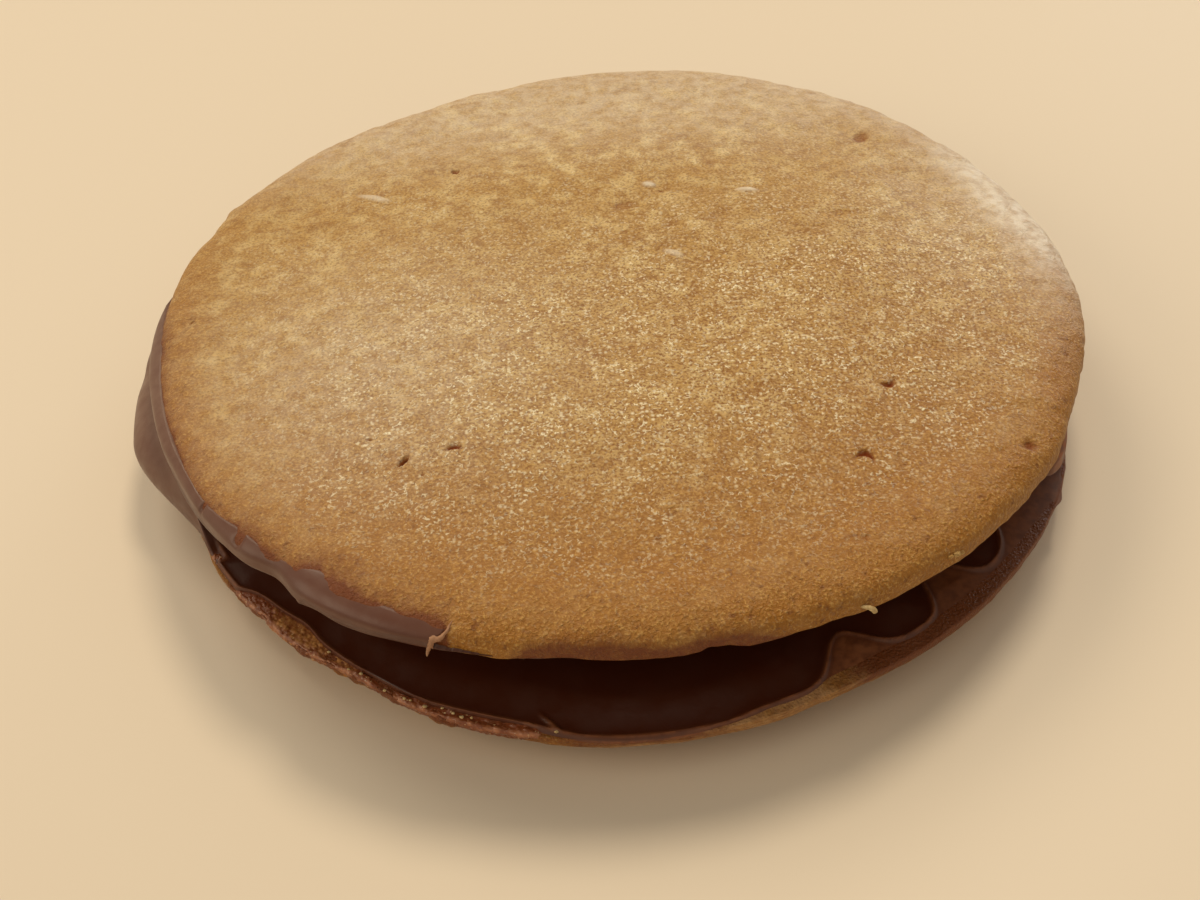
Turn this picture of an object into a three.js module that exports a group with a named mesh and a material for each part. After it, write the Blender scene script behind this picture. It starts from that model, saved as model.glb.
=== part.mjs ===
// Sandwich cookie: two thin round biscuits with their flat faces inward, each face coated with
// milk chocolate. The coats are joined at the back and the sides and part at the front, where
// the upper biscuit stands higher and leaves an open mouth. The upper coat wraps round its
// biscuit's rim at the left and the front left only.
// Millimetres, +Z up, the mouth towards -Y, standing on the plane z = 0.
// Bearings are in degrees, counter-clockwise from +X as seen from above, so 270 is the front.

import * as THREE from 'three';

// ---- Driving dimensions: the biscuits ------------------------------------------------------

const LOWER_RADIUS = 34.0;      // mean radius of the lower biscuit
const UPPER_RADIUS = 34.15;     // mean radius of the upper biscuit
const RIM_WIDTH = 4.5;          // how far in from the edge the rim rounds over
const CROWN = 1.3;              // further rise of the domed face from the rim to the middle
const LEVEL_RADIUS = 12;        // the middle of the domed face is level out to here

// Thickness of the blunt edge beside the flat face, and height of the domed face over the flat
// one where the rim ends. The upper biscuit is a little thicker than the lower one.
const LOWER_FORM = { edgeHeight: 0.5, rimHeight: 2.15 };
const UPPER_FORM = { edgeHeight: 1.0, rimHeight: 2.65 };

// Unevenness of the two outlines: so many waves round the edge, their size, and where one peaks.
const LOWER_WAVES = [
  { count: 2, size: 0.09, peak: 90 },
  { count: 3, size: 0.12, peak: 31 },
  { count: 6, size: 0.16, peak: 24 },
];
const UPPER_WAVES = [
  { count: 2, size: 0.11, peak: 0 },
  { count: 3, size: 0.10, peak: -49 },
  { count: 4, size: 0.26, peak: -27 },
  { count: 5, size: 0.16, peak: 6 },
];

// Shallow dents in the two outlines: bearing, spread in degrees, and reach outward (less than 0).
const LOWER_DENTS = [
  { bearing: 234, spread: 6.5, reach: -0.4 },
  { bearing: 271, spread: 23, reach: -0.24 },
];
const UPPER_DENTS = [{ bearing: 225.5, spread: 3.2, reach: -0.45 }];

// ---- Driving dimensions: how the two halves lie --------------------------------------------

const LOWER_FLAT = LOWER_FORM.rimHeight + CROWN;   // height of the lower biscuit's upward face
const SPACING = 4.25;           // from flat face to flat face in the middle
const UPPER_SHIFT_X = -0.2;     // the upper biscuit lies a little off the lower one's middle
const UPPER_SHIFT_Y = 0.75;
const PITCH = 4.35;             // degrees by which the upper half rises towards the front
const ROLL = 1.0;               // degrees by which it drops towards the right
const GAP = 0.3;                // clearance kept between neighbouring pieces

// ---- Driving dimensions: the chocolate -----------------------------------------------------

const POOL = 0.45;              // thickness of the lower coat inside the mouth
const RIDGE_HEIGHT = 0.2;       // the raised line near the coat's edge stands this far over it
const RIDGE_WIDTH = 0.5;
const RIDGE_RADIUS = 33.25;
const EDGE_THICKNESS = 0.25;    // thickness of the lower coat where it runs out in the mouth
const CRUMBLY_START = 210;      // bearings between which the lower rim is bare outside that line
const CRUMBLY_END = 256;
const CRUMBLY_SOFTNESS = 6;
const SHORE = 0.3;              // how far the coat reaches past the raised line there
const UPPER_COAT = 0.75;        // depth of the upper coat's underside, inside the mouth

const MOUTH_START = 207.5;      // bearings between which the coats stand apart at the edge
const MOUTH_END = 327.5;
const MOUTH_SOFTNESS = 6;       // degrees over which the mouth opens and closes
const JOIN_BACK = 8;            // where the joined coats begin, behind the middle
const JOIN_BOW = 0.0225;        // how the join's front line bows towards the sides
const JOIN_SOFTNESS = 6;        // width over which the coats part
const BROW_INNER = 26;          // between these radii the mouth's bearings are open whatever
const BROW_OUTER = 31;          // the join's front line says

const SEAM_SHARE = 0.5;         // height of the seam between the coats, as a part of the spacing
const SEAM_RISE = 0.27;         // and how far it rises at the thick left side
const SEAM_SPREAD = 24;         // spread of the seam's rise round the left bearing
const LEFT_BEARING = 187;       // the middle of the lump that was squeezed out at the left
const LUMP_REACH = 2.85;        // how far the lump stands out past the lower biscuit
const LUMP_RISES = [162, 171];  // bearings over which the lump swells out
const LUMP_FALLS = [190, 208];  // and over which it sinks back
const BACK_REACH = 0.12;        // how far the lower coat stands out elsewhere, where joined

const WRAP_START = 164.5;       // bearings between which the upper coat wraps round the rim
const WRAP_END = 251;
const WRAP_SOFTNESS = 1;
const WRAP = 0.55;              // how far the upper coat stands out round the upper biscuit
const LEFT_WRAP = 0.15;         // and how much more at the left
const LEFT_WRAP_SPREAD = 18;
const SKIN = 0.2;               // thickness of the wrap's upper edge
const CLIMB = 1.75;             // how high the wrap climbs the rim
const DROP = 0.6;               // depth of the upper coat's edge under the flat face, in the mouth

// Lobes of the upper coat's hanging lip: bearing, spread in degrees, added depth and climb. The
// first and the one at 250.5 bring the wrap's upper edge down at its two ends.
const LIP_LOBES = [
  { bearing: 166, spread: 4, depth: 0, climb: -1.0 },
  { bearing: 209, spread: 6, depth: 0.8, climb: 0 },
  { bearing: 225, spread: 3, depth: 0, climb: -0.15 },
  { bearing: 236, spread: 7, depth: 0.5, climb: 0.3 },
  { bearing: 250.5, spread: 2.2, depth: 0, climb: -1.5 },
  { bearing: 327, spread: 4, depth: 1.0, climb: 0 },
];
const EDGE_INSET = 0.15;        // how far the coat's edge lies in from the biscuit's, past the wrap
const BARE_START = 282.5;       // bearings between which it lies in farther
const BARE_END = 323.5;
const BARE_STEP = 1.3;          // and how far it lies in there
const BARE_SOFTNESS = 4;        // degrees over which it draws back

// Lobes of the lower coat's ridge line: bearing, spread, and reach outward (less than 0 is a dent).
const RIDGE_LOBES = [
  { bearing: 209, spread: 4, reach: 0.6 },
  { bearing: 222.5, spread: 7.5, reach: -1.0 },
  { bearing: 269, spread: 7, reach: 0.85 },
  { bearing: 293, spread: 3.5, reach: -2.6 },
  { bearing: 309, spread: 4.5, reach: -2.8 },
  { bearing: 325, spread: 4.5, reach: -2.6 },
];

// ---- Mesh density ---------------------------------------------------------------------------

const STEPS = 104;              // facets round each piece

// ---- Materials ------------------------------------------------------------------------------

const crust = new THREE.MeshStandardMaterial({ color: 0xb9935f, roughness: 0.62, metalness: 0 });
const chocolate = new THREE.MeshStandardMaterial({ color: 0x5b3424, roughness: 0.32, metalness: 0 });

// ---- Helpers --------------------------------------------------------------------------------

const rad = THREE.MathUtils.degToRad;

/** Smooth step from 0 to 1 as x goes from a to b. */
function ramp(x, a, b) {
  return THREE.MathUtils.smoothstep(x, a, b);
}

/** Signed difference between two bearings, from -180 to 180. */
function turn(bearing, from) {
  return THREE.MathUtils.euclideanModulo(bearing - from + 180, 360) - 180;
}

/** A bell of height 1 at a bearing, and about a third of that one spread away. */
function bell(bearing, middle, spread) {
  const d = turn(bearing, middle) / spread;
  return Math.exp(-d * d);
}

/** 1 between two bearings and 0 outside them, with soft ends. */
function between(bearing, start, end, softness) {
  const middle = (start + end) / 2;
  const half = (end - start) / 2;
  const d = Math.abs(turn(bearing, middle));
  return 1 - ramp(d, half - softness / 2, half + softness / 2);
}

/** The sum of several lobes or dents at a bearing. */
function lobesAt(lobes, bearing) {
  let reach = 0;
  for (const lobe of lobes) {
    reach += lobe.reach * bell(bearing, lobe.bearing, lobe.spread);
  }
  return reach;
}

/** An edge's radius at a bearing: the mean radius, its few waves and its dents. */
function outline(radius, waves, dents, bearing) {
  let r = radius + lobesAt(dents, bearing);
  for (const wave of waves) {
    r += wave.size * Math.cos(rad(wave.count * (bearing - wave.peak)));
  }
  return r;
}

/** Radius of the lower biscuit's edge. */
function lowerEdge(bearing) {
  return outline(LOWER_RADIUS, LOWER_WAVES, LOWER_DENTS, bearing);
}

/** Radius of the upper biscuit's edge. */
function upperEdge(bearing) {
  return outline(UPPER_RADIUS, UPPER_WAVES, UPPER_DENTS, bearing);
}

/**
 * A closed body between two points of its axis. profileAt(bearing) gives its section there as
 * [r, z] points, from the lower axis point, outward and back to the upper axis point.
 */
function sectioned(profileAt) {
  const first = profileAt(0);
  const rings = first.length - 2;
  const positions = [0, 0, first[0][1]];
  for (let step = 0; step < STEPS; step += 1) {
    const bearing = (360 * step) / STEPS;
    const section = profileAt(bearing);
    for (let ring = 1; ring <= rings; ring += 1) {
      const [r, z] = section[ring];
      positions.push(r * Math.cos(rad(bearing)), r * Math.sin(rad(bearing)), z);
    }
  }
  positions.push(0, 0, first[rings + 1][1]);
  const top = 1 + STEPS * rings;
  const at = (step, ring) => 1 + (step % STEPS) * rings + ring;
  const index = [];
  for (let step = 0; step < STEPS; step += 1) {
    index.push(0, at(step + 1, 0), at(step, 0));
    for (let ring = 0; ring < rings - 1; ring += 1) {
      const a = at(step, ring);
      const b = at(step + 1, ring);
      const c = at(step + 1, ring + 1);
      const d = at(step, ring + 1);
      index.push(a, b, c, a, c, d);
    }
    index.push(at(step, rings - 1), at(step + 1, rings - 1), top);
  }
  const geometry = new THREE.BufferGeometry();
  geometry.setAttribute('position', new THREE.Float32BufferAttribute(positions, 3));
  geometry.setIndex(index);
  geometry.computeVertexNormals();
  return geometry;
}

/** A named mesh. */
function piece(name, geometry, material) {
  const mesh = new THREE.Mesh(geometry, material);
  mesh.name = name;
  return mesh;
}

// ---- Biscuits -------------------------------------------------------------------------------

const CORNER = 0.2;             // the corner between the flat face and the edge is cut off so far
const RIM_TURNS = [4, 28, 48, 70, 90];   // degrees round the rim's quarter ellipse
const DOME_RADII = [23, LEVEL_RADIUS];

/** Height of the domed face over the flat one, at a radius inside the rim. */
function domeHeight(r, rimRadius, form) {
  const out = Math.max(0, r - LEVEL_RADIUS) / (rimRadius - LEVEL_RADIUS);
  return form.rimHeight + CROWN * (1 - out * out) ** 2;
}

/** The biscuit's section with its flat face down at z = 0, from the flat face round to the dome. */
function biscuitSection(edge, form) {
  const rimRadius = edge - RIM_WIDTH;
  const section = [[0, 0], [edge - CORNER, 0], [edge, CORNER]];
  for (const degrees of RIM_TURNS) {
    const r = rimRadius + RIM_WIDTH * Math.cos(rad(degrees));
    const z = form.edgeHeight + (form.rimHeight - form.edgeHeight) * Math.sin(rad(degrees));
    section.push([r, z]);
  }
  for (const r of DOME_RADII) {
    section.push([r, domeHeight(r, rimRadius, form)]);
  }
  section.push([0, form.rimHeight + CROWN]);
  return section;
}

/** How far the upper biscuit's rim lies in from its edge at a height over the flat face. */
function rimInset(height) {
  const { edgeHeight, rimHeight } = UPPER_FORM;
  const rise = THREE.MathUtils.clamp((height - edgeHeight) / (rimHeight - edgeHeight), 0, 1);
  return RIM_WIDTH * (1 - Math.sqrt(1 - rise * rise));
}

function lowerBiscuit() {
  const sectionAt = (bearing) => {
    const flatDown = biscuitSection(lowerEdge(bearing), LOWER_FORM);
    return flatDown.map(([r, z]) => [r, LOWER_FLAT - z]).reverse();
  };
  return piece('bottom_biscuit', sectioned(sectionAt), crust);
}

function upperBiscuit() {
  const sectionAt = (bearing) => biscuitSection(upperEdge(bearing), UPPER_FORM);
  return piece('top_biscuit', sectioned(sectionAt), crust);
}

// ---- Where the two coats meet ---------------------------------------------------------------

/** 1 where the coats stand apart at the edge, 0 where they are joined. */
function mouth(bearing) {
  return between(bearing, MOUTH_START, MOUTH_END, MOUTH_SOFTNESS);
}

/** Distance between the two flat faces over a point of the lower one. */
function spacingAt(x, y) {
  const rise = -(y - UPPER_SHIFT_Y) * Math.tan(rad(PITCH));
  const fall = (x - UPPER_SHIFT_X) * Math.tan(rad(ROLL));
  return SPACING + rise - fall;
}

/** 1 behind the join's front line, 0 before it. */
function joined(x, y) {
  const line = JOIN_BACK - JOIN_BOW * x * x;
  return ramp(y - line, -JOIN_SOFTNESS / 2, JOIN_SOFTNESS / 2);
}

/** 1 where the coats are joined at a bearing and radius, 0 where air is between them. */
function joinedAt(bearing, r, x, y) {
  return joined(x, y) * (1 - mouth(bearing) * ramp(r, BROW_INNER, BROW_OUTER));
}

/** Height of the seam between the coats over the lower flat face. */
function seamHeight(bearing, x, y) {
  const share = SEAM_SHARE + SEAM_RISE * bell(bearing, LEFT_BEARING, SEAM_SPREAD);
  return share * spacingAt(x, y);
}

// ---- Lower chocolate ------------------------------------------------------------------------

const LOWER_TOP_INSETS = [0.35, 0.7, 1.1, 1.8, 3.2, 6.5, 12, 18, 25];
const WALL_PARTS = [0.12, 0.4, 0.7, 1];   // parts of the outer wall's height
const BULGE_FROM = 25;          // the wall's bulge follows a sine from this angle
const BULGE_TURN = 125;         // and over this many degrees
const FOOT_INSET = 0.1;         // how far inside the biscuit's edge the coat's foot lies
const FOOT_UNDERCUT = 0.3;      // how far the coat's underside stops short of its foot
const SHOULDER = 0.05;          // how far the wall's top lies under the coat's upper surface
const TOP_REACH = 0.5;          // part of the bulge that is left at the wall's top
const TOP_REACH_WIDTH = 3;      // width over which that part runs out inward

/** Radius of the raised line near the lower coat's edge. */
function ridgeRadius(bearing) {
  return RIDGE_RADIUS + lobesAt(RIDGE_LOBES, bearing);
}

/** Outer radius of the lower coat at its foot. */
function lowerCoatEdge(bearing) {
  const whole = lowerEdge(bearing) - FOOT_INSET;
  const nearLine = Math.min(whole, ridgeRadius(bearing) + SHORE);
  const crumbly = between(bearing, CRUMBLY_START, CRUMBLY_END, CRUMBLY_SOFTNESS);
  return THREE.MathUtils.lerp(whole, nearLine, crumbly);
}

/** How far the lump at the left stands out at a bearing. */
function lumpAt(bearing) {
  return LUMP_REACH * ramp(bearing, ...LUMP_RISES) * (1 - ramp(bearing, ...LUMP_FALLS));
}

/** Height of the lower coat's upper surface over the flat face. */
function lowerCoatTop(bearing, r) {
  const x = r * Math.cos(rad(bearing));
  const y = r * Math.sin(rad(bearing));
  const toRidge = (r - ridgeRadius(bearing)) / RIDGE_WIDTH;
  const ridge = RIDGE_HEIGHT * Math.exp(-toRidge * toRidge);
  const runOut = THREE.MathUtils.lerp(POOL, EDGE_THICKNESS, ramp(toRidge, 0, 1));
  const open = GAP + runOut + ridge * mouth(bearing);
  const shut = seamHeight(bearing, x, y) - GAP / 2;
  return THREE.MathUtils.lerp(open, Math.max(open, shut), joinedAt(bearing, r, x, y));
}

function lowerChocolate() {
  const sectionAt = (bearing) => {
    const foot = lowerCoatEdge(bearing);
    const shut = 1 - mouth(bearing);
    const reach = shut * Math.max(lumpAt(bearing), BACK_REACH);
    const wallTop = lowerCoatTop(bearing, foot - LOWER_TOP_INSETS[0]) - SHOULDER;
    const section = [[0, LOWER_FLAT + GAP], [foot - FOOT_UNDERCUT, LOWER_FLAT + GAP]];
    for (const part of WALL_PARTS) {
      const bulge = reach * Math.sin(rad(BULGE_FROM + BULGE_TURN * part));
      section.push([foot + bulge, LOWER_FLAT + GAP + (wallTop - GAP) * part]);
    }
    for (const inset of LOWER_TOP_INSETS) {
      const leaning = reach * TOP_REACH * (1 - ramp(inset, 0, TOP_REACH_WIDTH));
      const r = foot + leaning - inset;
      section.push([r, LOWER_FLAT + lowerCoatTop(bearing, r)]);
    }
    section.push([0, LOWER_FLAT + lowerCoatTop(0, 0)]);
    return section;
  };
  return piece('lower_chocolate', sectioned(sectionAt), chocolate);
}

// ---- Upper chocolate ------------------------------------------------------------------------

const UPPER_UNDER_INSETS = [26, 18, 11, 6, 3, 1.6, 0.8];
const LIP_INNER = 5;            // the hanging lip deepens from this far inside the edge
const LIP_OUTER = 1;            // to this far inside it
const LIP_TURN = { inset: 0.2, part: 0.88 };   // where the underside turns up into the outer wall
const WALL_PART = 0.6;          // part of the depth at which the outer wall stands farthest out
const STEP_BACKS = [0.1, 0.4, 0.7, 1.0];       // the plain edge's upper side, inward
const STEP_LIFTS = [0.03, 0.02];               // and how far under the gap its first points lie
const INNER_PART = 0.5;         // part of the climb at which the wrap's inner side has a point
const CORNER_INSET = 0.2;       // the wrap's inner corner lies this far inside the edge

/** 1 where the upper coat wraps round the biscuit's rim, 0 where it ends inside the edge. */
function wrapped(bearing) {
  return between(bearing, WRAP_START, WRAP_END, WRAP_SOFTNESS);
}

/** How far inside the biscuit's edge the coat ends where it isn't wrapped round. */
function edgeInset(bearing) {
  const bare = between(bearing, BARE_START, BARE_END, BARE_SOFTNESS);
  return THREE.MathUtils.lerp(EDGE_INSET, BARE_STEP, bare);
}

/** Depth of the upper coat's underside below the flat face. */
function upperCoatDepth(bearing, r) {
  const x = UPPER_SHIFT_X + r * Math.cos(rad(bearing));
  const y = UPPER_SHIFT_Y + r * Math.sin(rad(bearing));
  let lip = DROP - UPPER_COAT;
  for (const lobe of LIP_LOBES) {
    lip += lobe.depth * bell(bearing, lobe.bearing, lobe.spread);
  }
  const hanging = ramp(r, UPPER_RADIUS - LIP_INNER, UPPER_RADIUS - LIP_OUTER);
  const open = UPPER_COAT + lip * hanging * mouth(bearing);
  const shut = spacingAt(x, y) - seamHeight(bearing, x, y) - GAP / 2;
  return THREE.MathUtils.lerp(open, Math.max(open, shut), joinedAt(bearing, r, x, y));
}

/** Height to which the wrap climbs the biscuit's rim, over the flat face. */
function climbAt(bearing) {
  let climb = CLIMB;
  for (const lobe of LIP_LOBES) {
    climb += lobe.climb * bell(bearing, lobe.bearing, lobe.spread);
  }
  return climb;
}

/** The wrap's upper edge and inner side where it holds the biscuit's rim. */
function wrapPoints(edge, climb) {
  const inner = (height) => edge + GAP - rimInset(height);
  return [
    [inner(climb) + SKIN, climb],
    [inner(climb * INNER_PART), climb * INNER_PART],
    [edge + GAP, -GAP],
    [edge - CORNER_INSET, -GAP],
  ];
}

/** The same points where the coat's edge ends under the flat face. */
function stepPoints(out) {
  const heights = [-GAP - STEP_LIFTS[0], -GAP - STEP_LIFTS[1], -GAP, -GAP];
  return STEP_BACKS.map((back, i) => [out - back, heights[i]]);
}

function upperChocolate() {
  const sectionAt = (bearing) => {
    const edge = upperEdge(bearing);
    const wrap = WRAP + LEFT_WRAP * bell(bearing, LEFT_BEARING, LEFT_WRAP_SPREAD);
    const hold = wrapped(bearing);
    const out = edge + THREE.MathUtils.lerp(-edgeInset(bearing), wrap, hold);
    const section = [[0, -upperCoatDepth(0, 0)]];
    for (const inset of UPPER_UNDER_INSETS) {
      const r = out - inset;
      section.push([r, -upperCoatDepth(bearing, r)]);
    }
    const depth = upperCoatDepth(bearing, out - UPPER_UNDER_INSETS.at(-1));
    section.push([out - LIP_TURN.inset, -depth * LIP_TURN.part]);
    section.push([out, -depth * WALL_PART]);
    const wrapSide = wrapPoints(edge, climbAt(bearing));
    const stepSide = stepPoints(out);
    wrapSide.forEach(([r, z], i) => {
      const [stepR, stepZ] = stepSide[i];
      section.push([THREE.MathUtils.lerp(stepR, r, hold), THREE.MathUtils.lerp(stepZ, z, hold)]);
    });
    section.push([0, -GAP]);
    return section;
  };
  return piece('upper_chocolate', sectioned(sectionAt), chocolate);
}

// ---- Assembly -------------------------------------------------------------------------------

const lowerHalf = new THREE.Group();
lowerHalf.add(lowerBiscuit(), lowerChocolate());

const upperHalf = new THREE.Group();
upperHalf.add(upperBiscuit(), upperChocolate());
upperHalf.position.set(UPPER_SHIFT_X, UPPER_SHIFT_Y, LOWER_FLAT + SPACING);
upperHalf.rotation.set(-rad(PITCH), rad(ROLL), 0);

const cookie = new THREE.Group();
cookie.add(lowerHalf, upperHalf);

// The origin is under the middle of the whole, on the surface that it stands on.
const box = new THREE.Box3().setFromObject(cookie, true);
const middle = box.getCenter(new THREE.Vector3());
cookie.position.set(-middle.x, -middle.y, -box.min.z);

export default cookie;
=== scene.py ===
"""Looks of a sandwich cookie: two thin biscuits coated with milk chocolate, laid face to face.

Lengths are millimetres in the classes and become metres where a piece is put into the scene.
Bearings are degrees, counter-clockwise from +X as seen from above, so 270 is the front.
"""

import itertools
import logging
import math
from dataclasses import dataclass, replace
from enum import Enum

import bpy
import numpy as np
from mathutils import Matrix, Vector


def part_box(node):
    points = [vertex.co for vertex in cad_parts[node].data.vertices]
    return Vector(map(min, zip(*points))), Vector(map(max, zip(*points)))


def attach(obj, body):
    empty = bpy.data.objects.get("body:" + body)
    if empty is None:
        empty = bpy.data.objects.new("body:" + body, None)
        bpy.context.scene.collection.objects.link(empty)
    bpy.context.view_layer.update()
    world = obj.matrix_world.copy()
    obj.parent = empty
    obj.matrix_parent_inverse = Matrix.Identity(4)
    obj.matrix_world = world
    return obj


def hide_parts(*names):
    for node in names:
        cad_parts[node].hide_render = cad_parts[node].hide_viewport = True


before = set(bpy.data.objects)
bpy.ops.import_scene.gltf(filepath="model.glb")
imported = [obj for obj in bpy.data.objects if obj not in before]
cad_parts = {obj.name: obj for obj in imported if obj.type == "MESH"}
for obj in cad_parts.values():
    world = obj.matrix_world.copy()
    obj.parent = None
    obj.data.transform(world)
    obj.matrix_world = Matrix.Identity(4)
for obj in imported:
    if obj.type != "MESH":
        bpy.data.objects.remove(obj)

Array = np.ndarray
Colour = tuple[int, int, int]
Material = bpy.types.Material
Socket = bpy.types.NodeSocket
MM = 0.001
MASK = 0xFFFFFFFF
FAR = 9.0
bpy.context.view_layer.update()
log = logging.getLogger("cookie")


# ---- Small formulas ----


def portion(x: Array, start: float, end: float) -> Array:
    """Straight step: the share of the way from start to end, held between 0 and 1."""
    return np.clip((x - start) / (end - start), 0.0, 1.0)


def ramp(x: Array, start: float, end: float) -> Array:
    """Smooth step: 3t^2 - 2t^3, where t is the share of the way from start to end."""
    t = portion(x, start, end)
    return t * t * (3.0 - 2.0 * t)


def blend(first: Array, second: Array, share: Array) -> Array:
    """The first value at share 0, the second at share 1, and in proportion between."""
    return first + (second - first) * share


def turn(bearing: Array, origin: float) -> Array:
    """Signed difference between a bearing and an origin, from -180 to 180 degrees."""
    return (bearing - origin + 180.0) % 360.0 - 180.0


def bell(bearing: Array, middle: float, spread: float) -> Array:
    """Bell of height 1: e to the power of minus the square of the turn over the spread."""
    return hump(turn(bearing, middle), spread)


def polar(radius: Array, bearing: Array) -> tuple[Array, Array]:
    """The x and y of a point: its radius times the cosine and the sine of its bearing."""
    return radius * np.cos(np.radians(bearing)), radius * np.sin(np.radians(bearing))


def spot(radius: Array, bearing: Array, height: Array) -> Array:
    """Places from radii, bearings and heights, with x, y and z along a new last axis."""
    return np.stack(np.broadcast_arrays(*polar(radius, bearing), height), axis=-1)


def hump(distance: Array, spread: float) -> Array:
    """Bell of height 1: e to the power of minus the square of the distance over the spread."""
    return np.exp(-((distance / spread) ** 2))


@dataclass(frozen=True)
class Chance:
    """Repeatable random numbers spread over space. Places and cells lie along the last axis."""

    seed: int  # Picks one pattern among many.

    CELL_PRIMES = (73856093, 19349663, 83492791)
    SEED_PRIME = 2654435761
    SALT_PRIME = 974711
    SCRAMBLE = 73244475
    GRAIN_SALTS = (31, 32, 33)
    OWN_SALT = 37

    def draw(self, cells: Array, salt: int = 0) -> Array:
        """One number from 0 to 1 for each whole-numbered cell of space.

        Formula: the cell's numbers times large primes, with the seed and the salt, are combined by
        exclusive or and scrambled twice by shifting and multiplying.

        Args:
            cells: Whole numbers, three to a cell.
            salt: Picks an independent set of numbers.

        Returns:
            One number to a cell.
        """
        start = (self.seed * self.SEED_PRIME + salt * self.SALT_PRIME) & MASK
        mixed = np.full(cells.shape[:-1], start, np.int64)
        for axis, prime in enumerate(self.CELL_PRIMES):
            mixed ^= (cells[..., axis] * prime) & MASK
        for _ in range(2):
            mixed = ((mixed ^ (mixed >> 16)) * self.SCRAMBLE) & MASK
        return (mixed ^ (mixed >> 16)) / MASK

    def clouds(self, points: Array, cell: float, octaves: int = 1) -> Array:
        """Soft random swells from -1 to 1.

        Formula: the numbers drawn at the eight corners of a point's cube are mixed by the smooth
        step of its place in the cube; each octave halves the cubes and the strength.

        Args:
            points: Places.
            cell: Size of the largest cubes.
            octaves: How many sizes are added up.

        Returns:
            One number to a place.
        """
        total = np.zeros(points.shape[:-1])
        for octave in range(octaves):
            place = points / (cell / 2**octave)
            base = np.floor(place).astype(np.int64)
            soft = ramp(place - base, 0.0, 1.0)
            for step in map(np.array, itertools.product((0, 1), repeat=3)):
                share = np.prod(np.where(step == 1, soft, 1.0 - soft), axis=-1)
                total += 0.5**octave * share * (2.0 * self.draw(base + step, octave) - 1.0)
        return total / (2.0 - 0.5 ** (octaves - 1))

    def grains(self, points: Array, cell: float) -> tuple[Array, Array]:
        """Grains scattered one to a cube.

        Formula: each cube holds one grain at a drawn place; the nearest of the 27 around a point
        is kept.

        Args:
            points: Places.
            cell: Size of the cubes.

        Returns:
            The distance to the nearest grain in cubes, and that grain's own random number.
        """
        place = points / cell
        base = np.floor(place).astype(np.int64)
        nearest = np.full(points.shape[:-1], FAR)
        own = np.zeros_like(nearest)
        for step in itertools.product((-1, 0, 1), repeat=3):
            cube = base + np.array(step)
            grain = cube + np.stack([self.draw(cube, salt) for salt in self.GRAIN_SALTS], axis=-1)
            away = np.linalg.norm(place - grain, axis=-1)
            own = np.where(away < nearest, self.draw(cube, self.OWN_SALT), own)
            nearest = np.minimum(away, nearest)
        return nearest, own


# ---- How the halves lie ----


class Half(Enum):
    """The half of the cookie that a piece is shaped on."""

    LOWER = "lower"
    UPPER = "upper"


@dataclass(frozen=True)
class Lobe:
    """A soft swelling at one bearing."""

    bearing: float  # Its middle.
    spread: float  # Degrees to where it has dropped to about a third.
    size: float  # Its height; less than 0 is a dent.
    lean: float = 0.0  # Degrees by which its tip leans over along the edge.

    def at(self, bearing: Array) -> Array:
        """Its size times a bell round its bearing."""
        return self.size * bell(bearing, self.bearing, self.spread)


@dataclass(frozen=True)
class Span:
    """A stretch of bearings with soft ends."""

    start: float  # Where it begins.
    end: float  # Where it ends.
    softness: float  # Degrees over which each end fades.

    def at(self, bearing: Array) -> Array:
        """Strength of the span.

        Formula: 1 inside it and 0 outside it, with a smooth step of the turn from its middle at
        each end.

        Args:
            bearing: Bearings.

        Returns:
            Shares from 0 to 1.
        """
        away = np.abs(turn(bearing, (self.start + self.end) / 2.0))
        half = (self.end - self.start) / 2.0
        return 1.0 - ramp(away, half - self.softness / 2.0, half + self.softness / 2.0)


def lobes_at(lobes: tuple[Lobe, ...], bearing: Array) -> Array:
    """The sum of several lobes."""
    return sum(lobe.at(bearing) for lobe in lobes)


@dataclass(frozen=True)
class Stations:
    """A size that is given at a few bearings and runs smoothly from each to the next."""

    bearings: tuple[float, ...]  # The bearings, rising.
    sizes: tuple[float, ...]  # The size at each; the first and the last hold over the rest of the circle.

    def at(self, bearing: Array) -> Array:
        """The size at a bearing.

        Formula: between two stations a cubic, whose slope at each is that of its neighbours.

        Args:
            bearing: Bearings.

        Returns:
            The size at each.
        """
        stops, sizes = np.array(self.bearings), np.array(self.sizes)
        slopes = np.gradient(sizes, stops)
        slopes[[0, -1]] = 0.0
        place = stops[0] + (bearing - stops[0]) % 360.0
        before = np.clip(np.searchsorted(stops, place) - 1, 0, len(stops) - 2)
        width = stops[before + 1] - stops[before]
        share = np.clip((place - stops[before]) / width, 0.0, 1.0)
        rest = 1.0 - share
        ends = sizes[before] * rest**2 * (1.0 + 2.0 * share)
        ends = ends + sizes[before + 1] * share**2 * (3.0 - 2.0 * share)
        lean = slopes[before] * rest - slopes[before + 1] * share
        return ends + lean * width * share * rest


@dataclass(frozen=True)
class Wave:
    """One wave of an uneven outline."""

    count: int  # How many times it goes up and down round the outline.
    size: float
    peak: float  # A bearing at which it peaks.


@dataclass(frozen=True)
class Outline:
    """The uneven edge of a biscuit."""

    radius: float  # Mean radius.
    waves: tuple[Wave, ...]  # Waves added to it.
    nicks: tuple[Lobe, ...] = ()  # Small swellings and dents added to it.

    def at(self, bearing: Array) -> Array:
        """The mean radius plus the nicks and each wave: size times the cosine of count times turn."""
        waves = (w.size * np.cos(np.radians(w.count * (bearing - w.peak))) for w in self.waves)
        return sum(waves, self.radius) + lobes_at(self.nicks, bearing)


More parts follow.
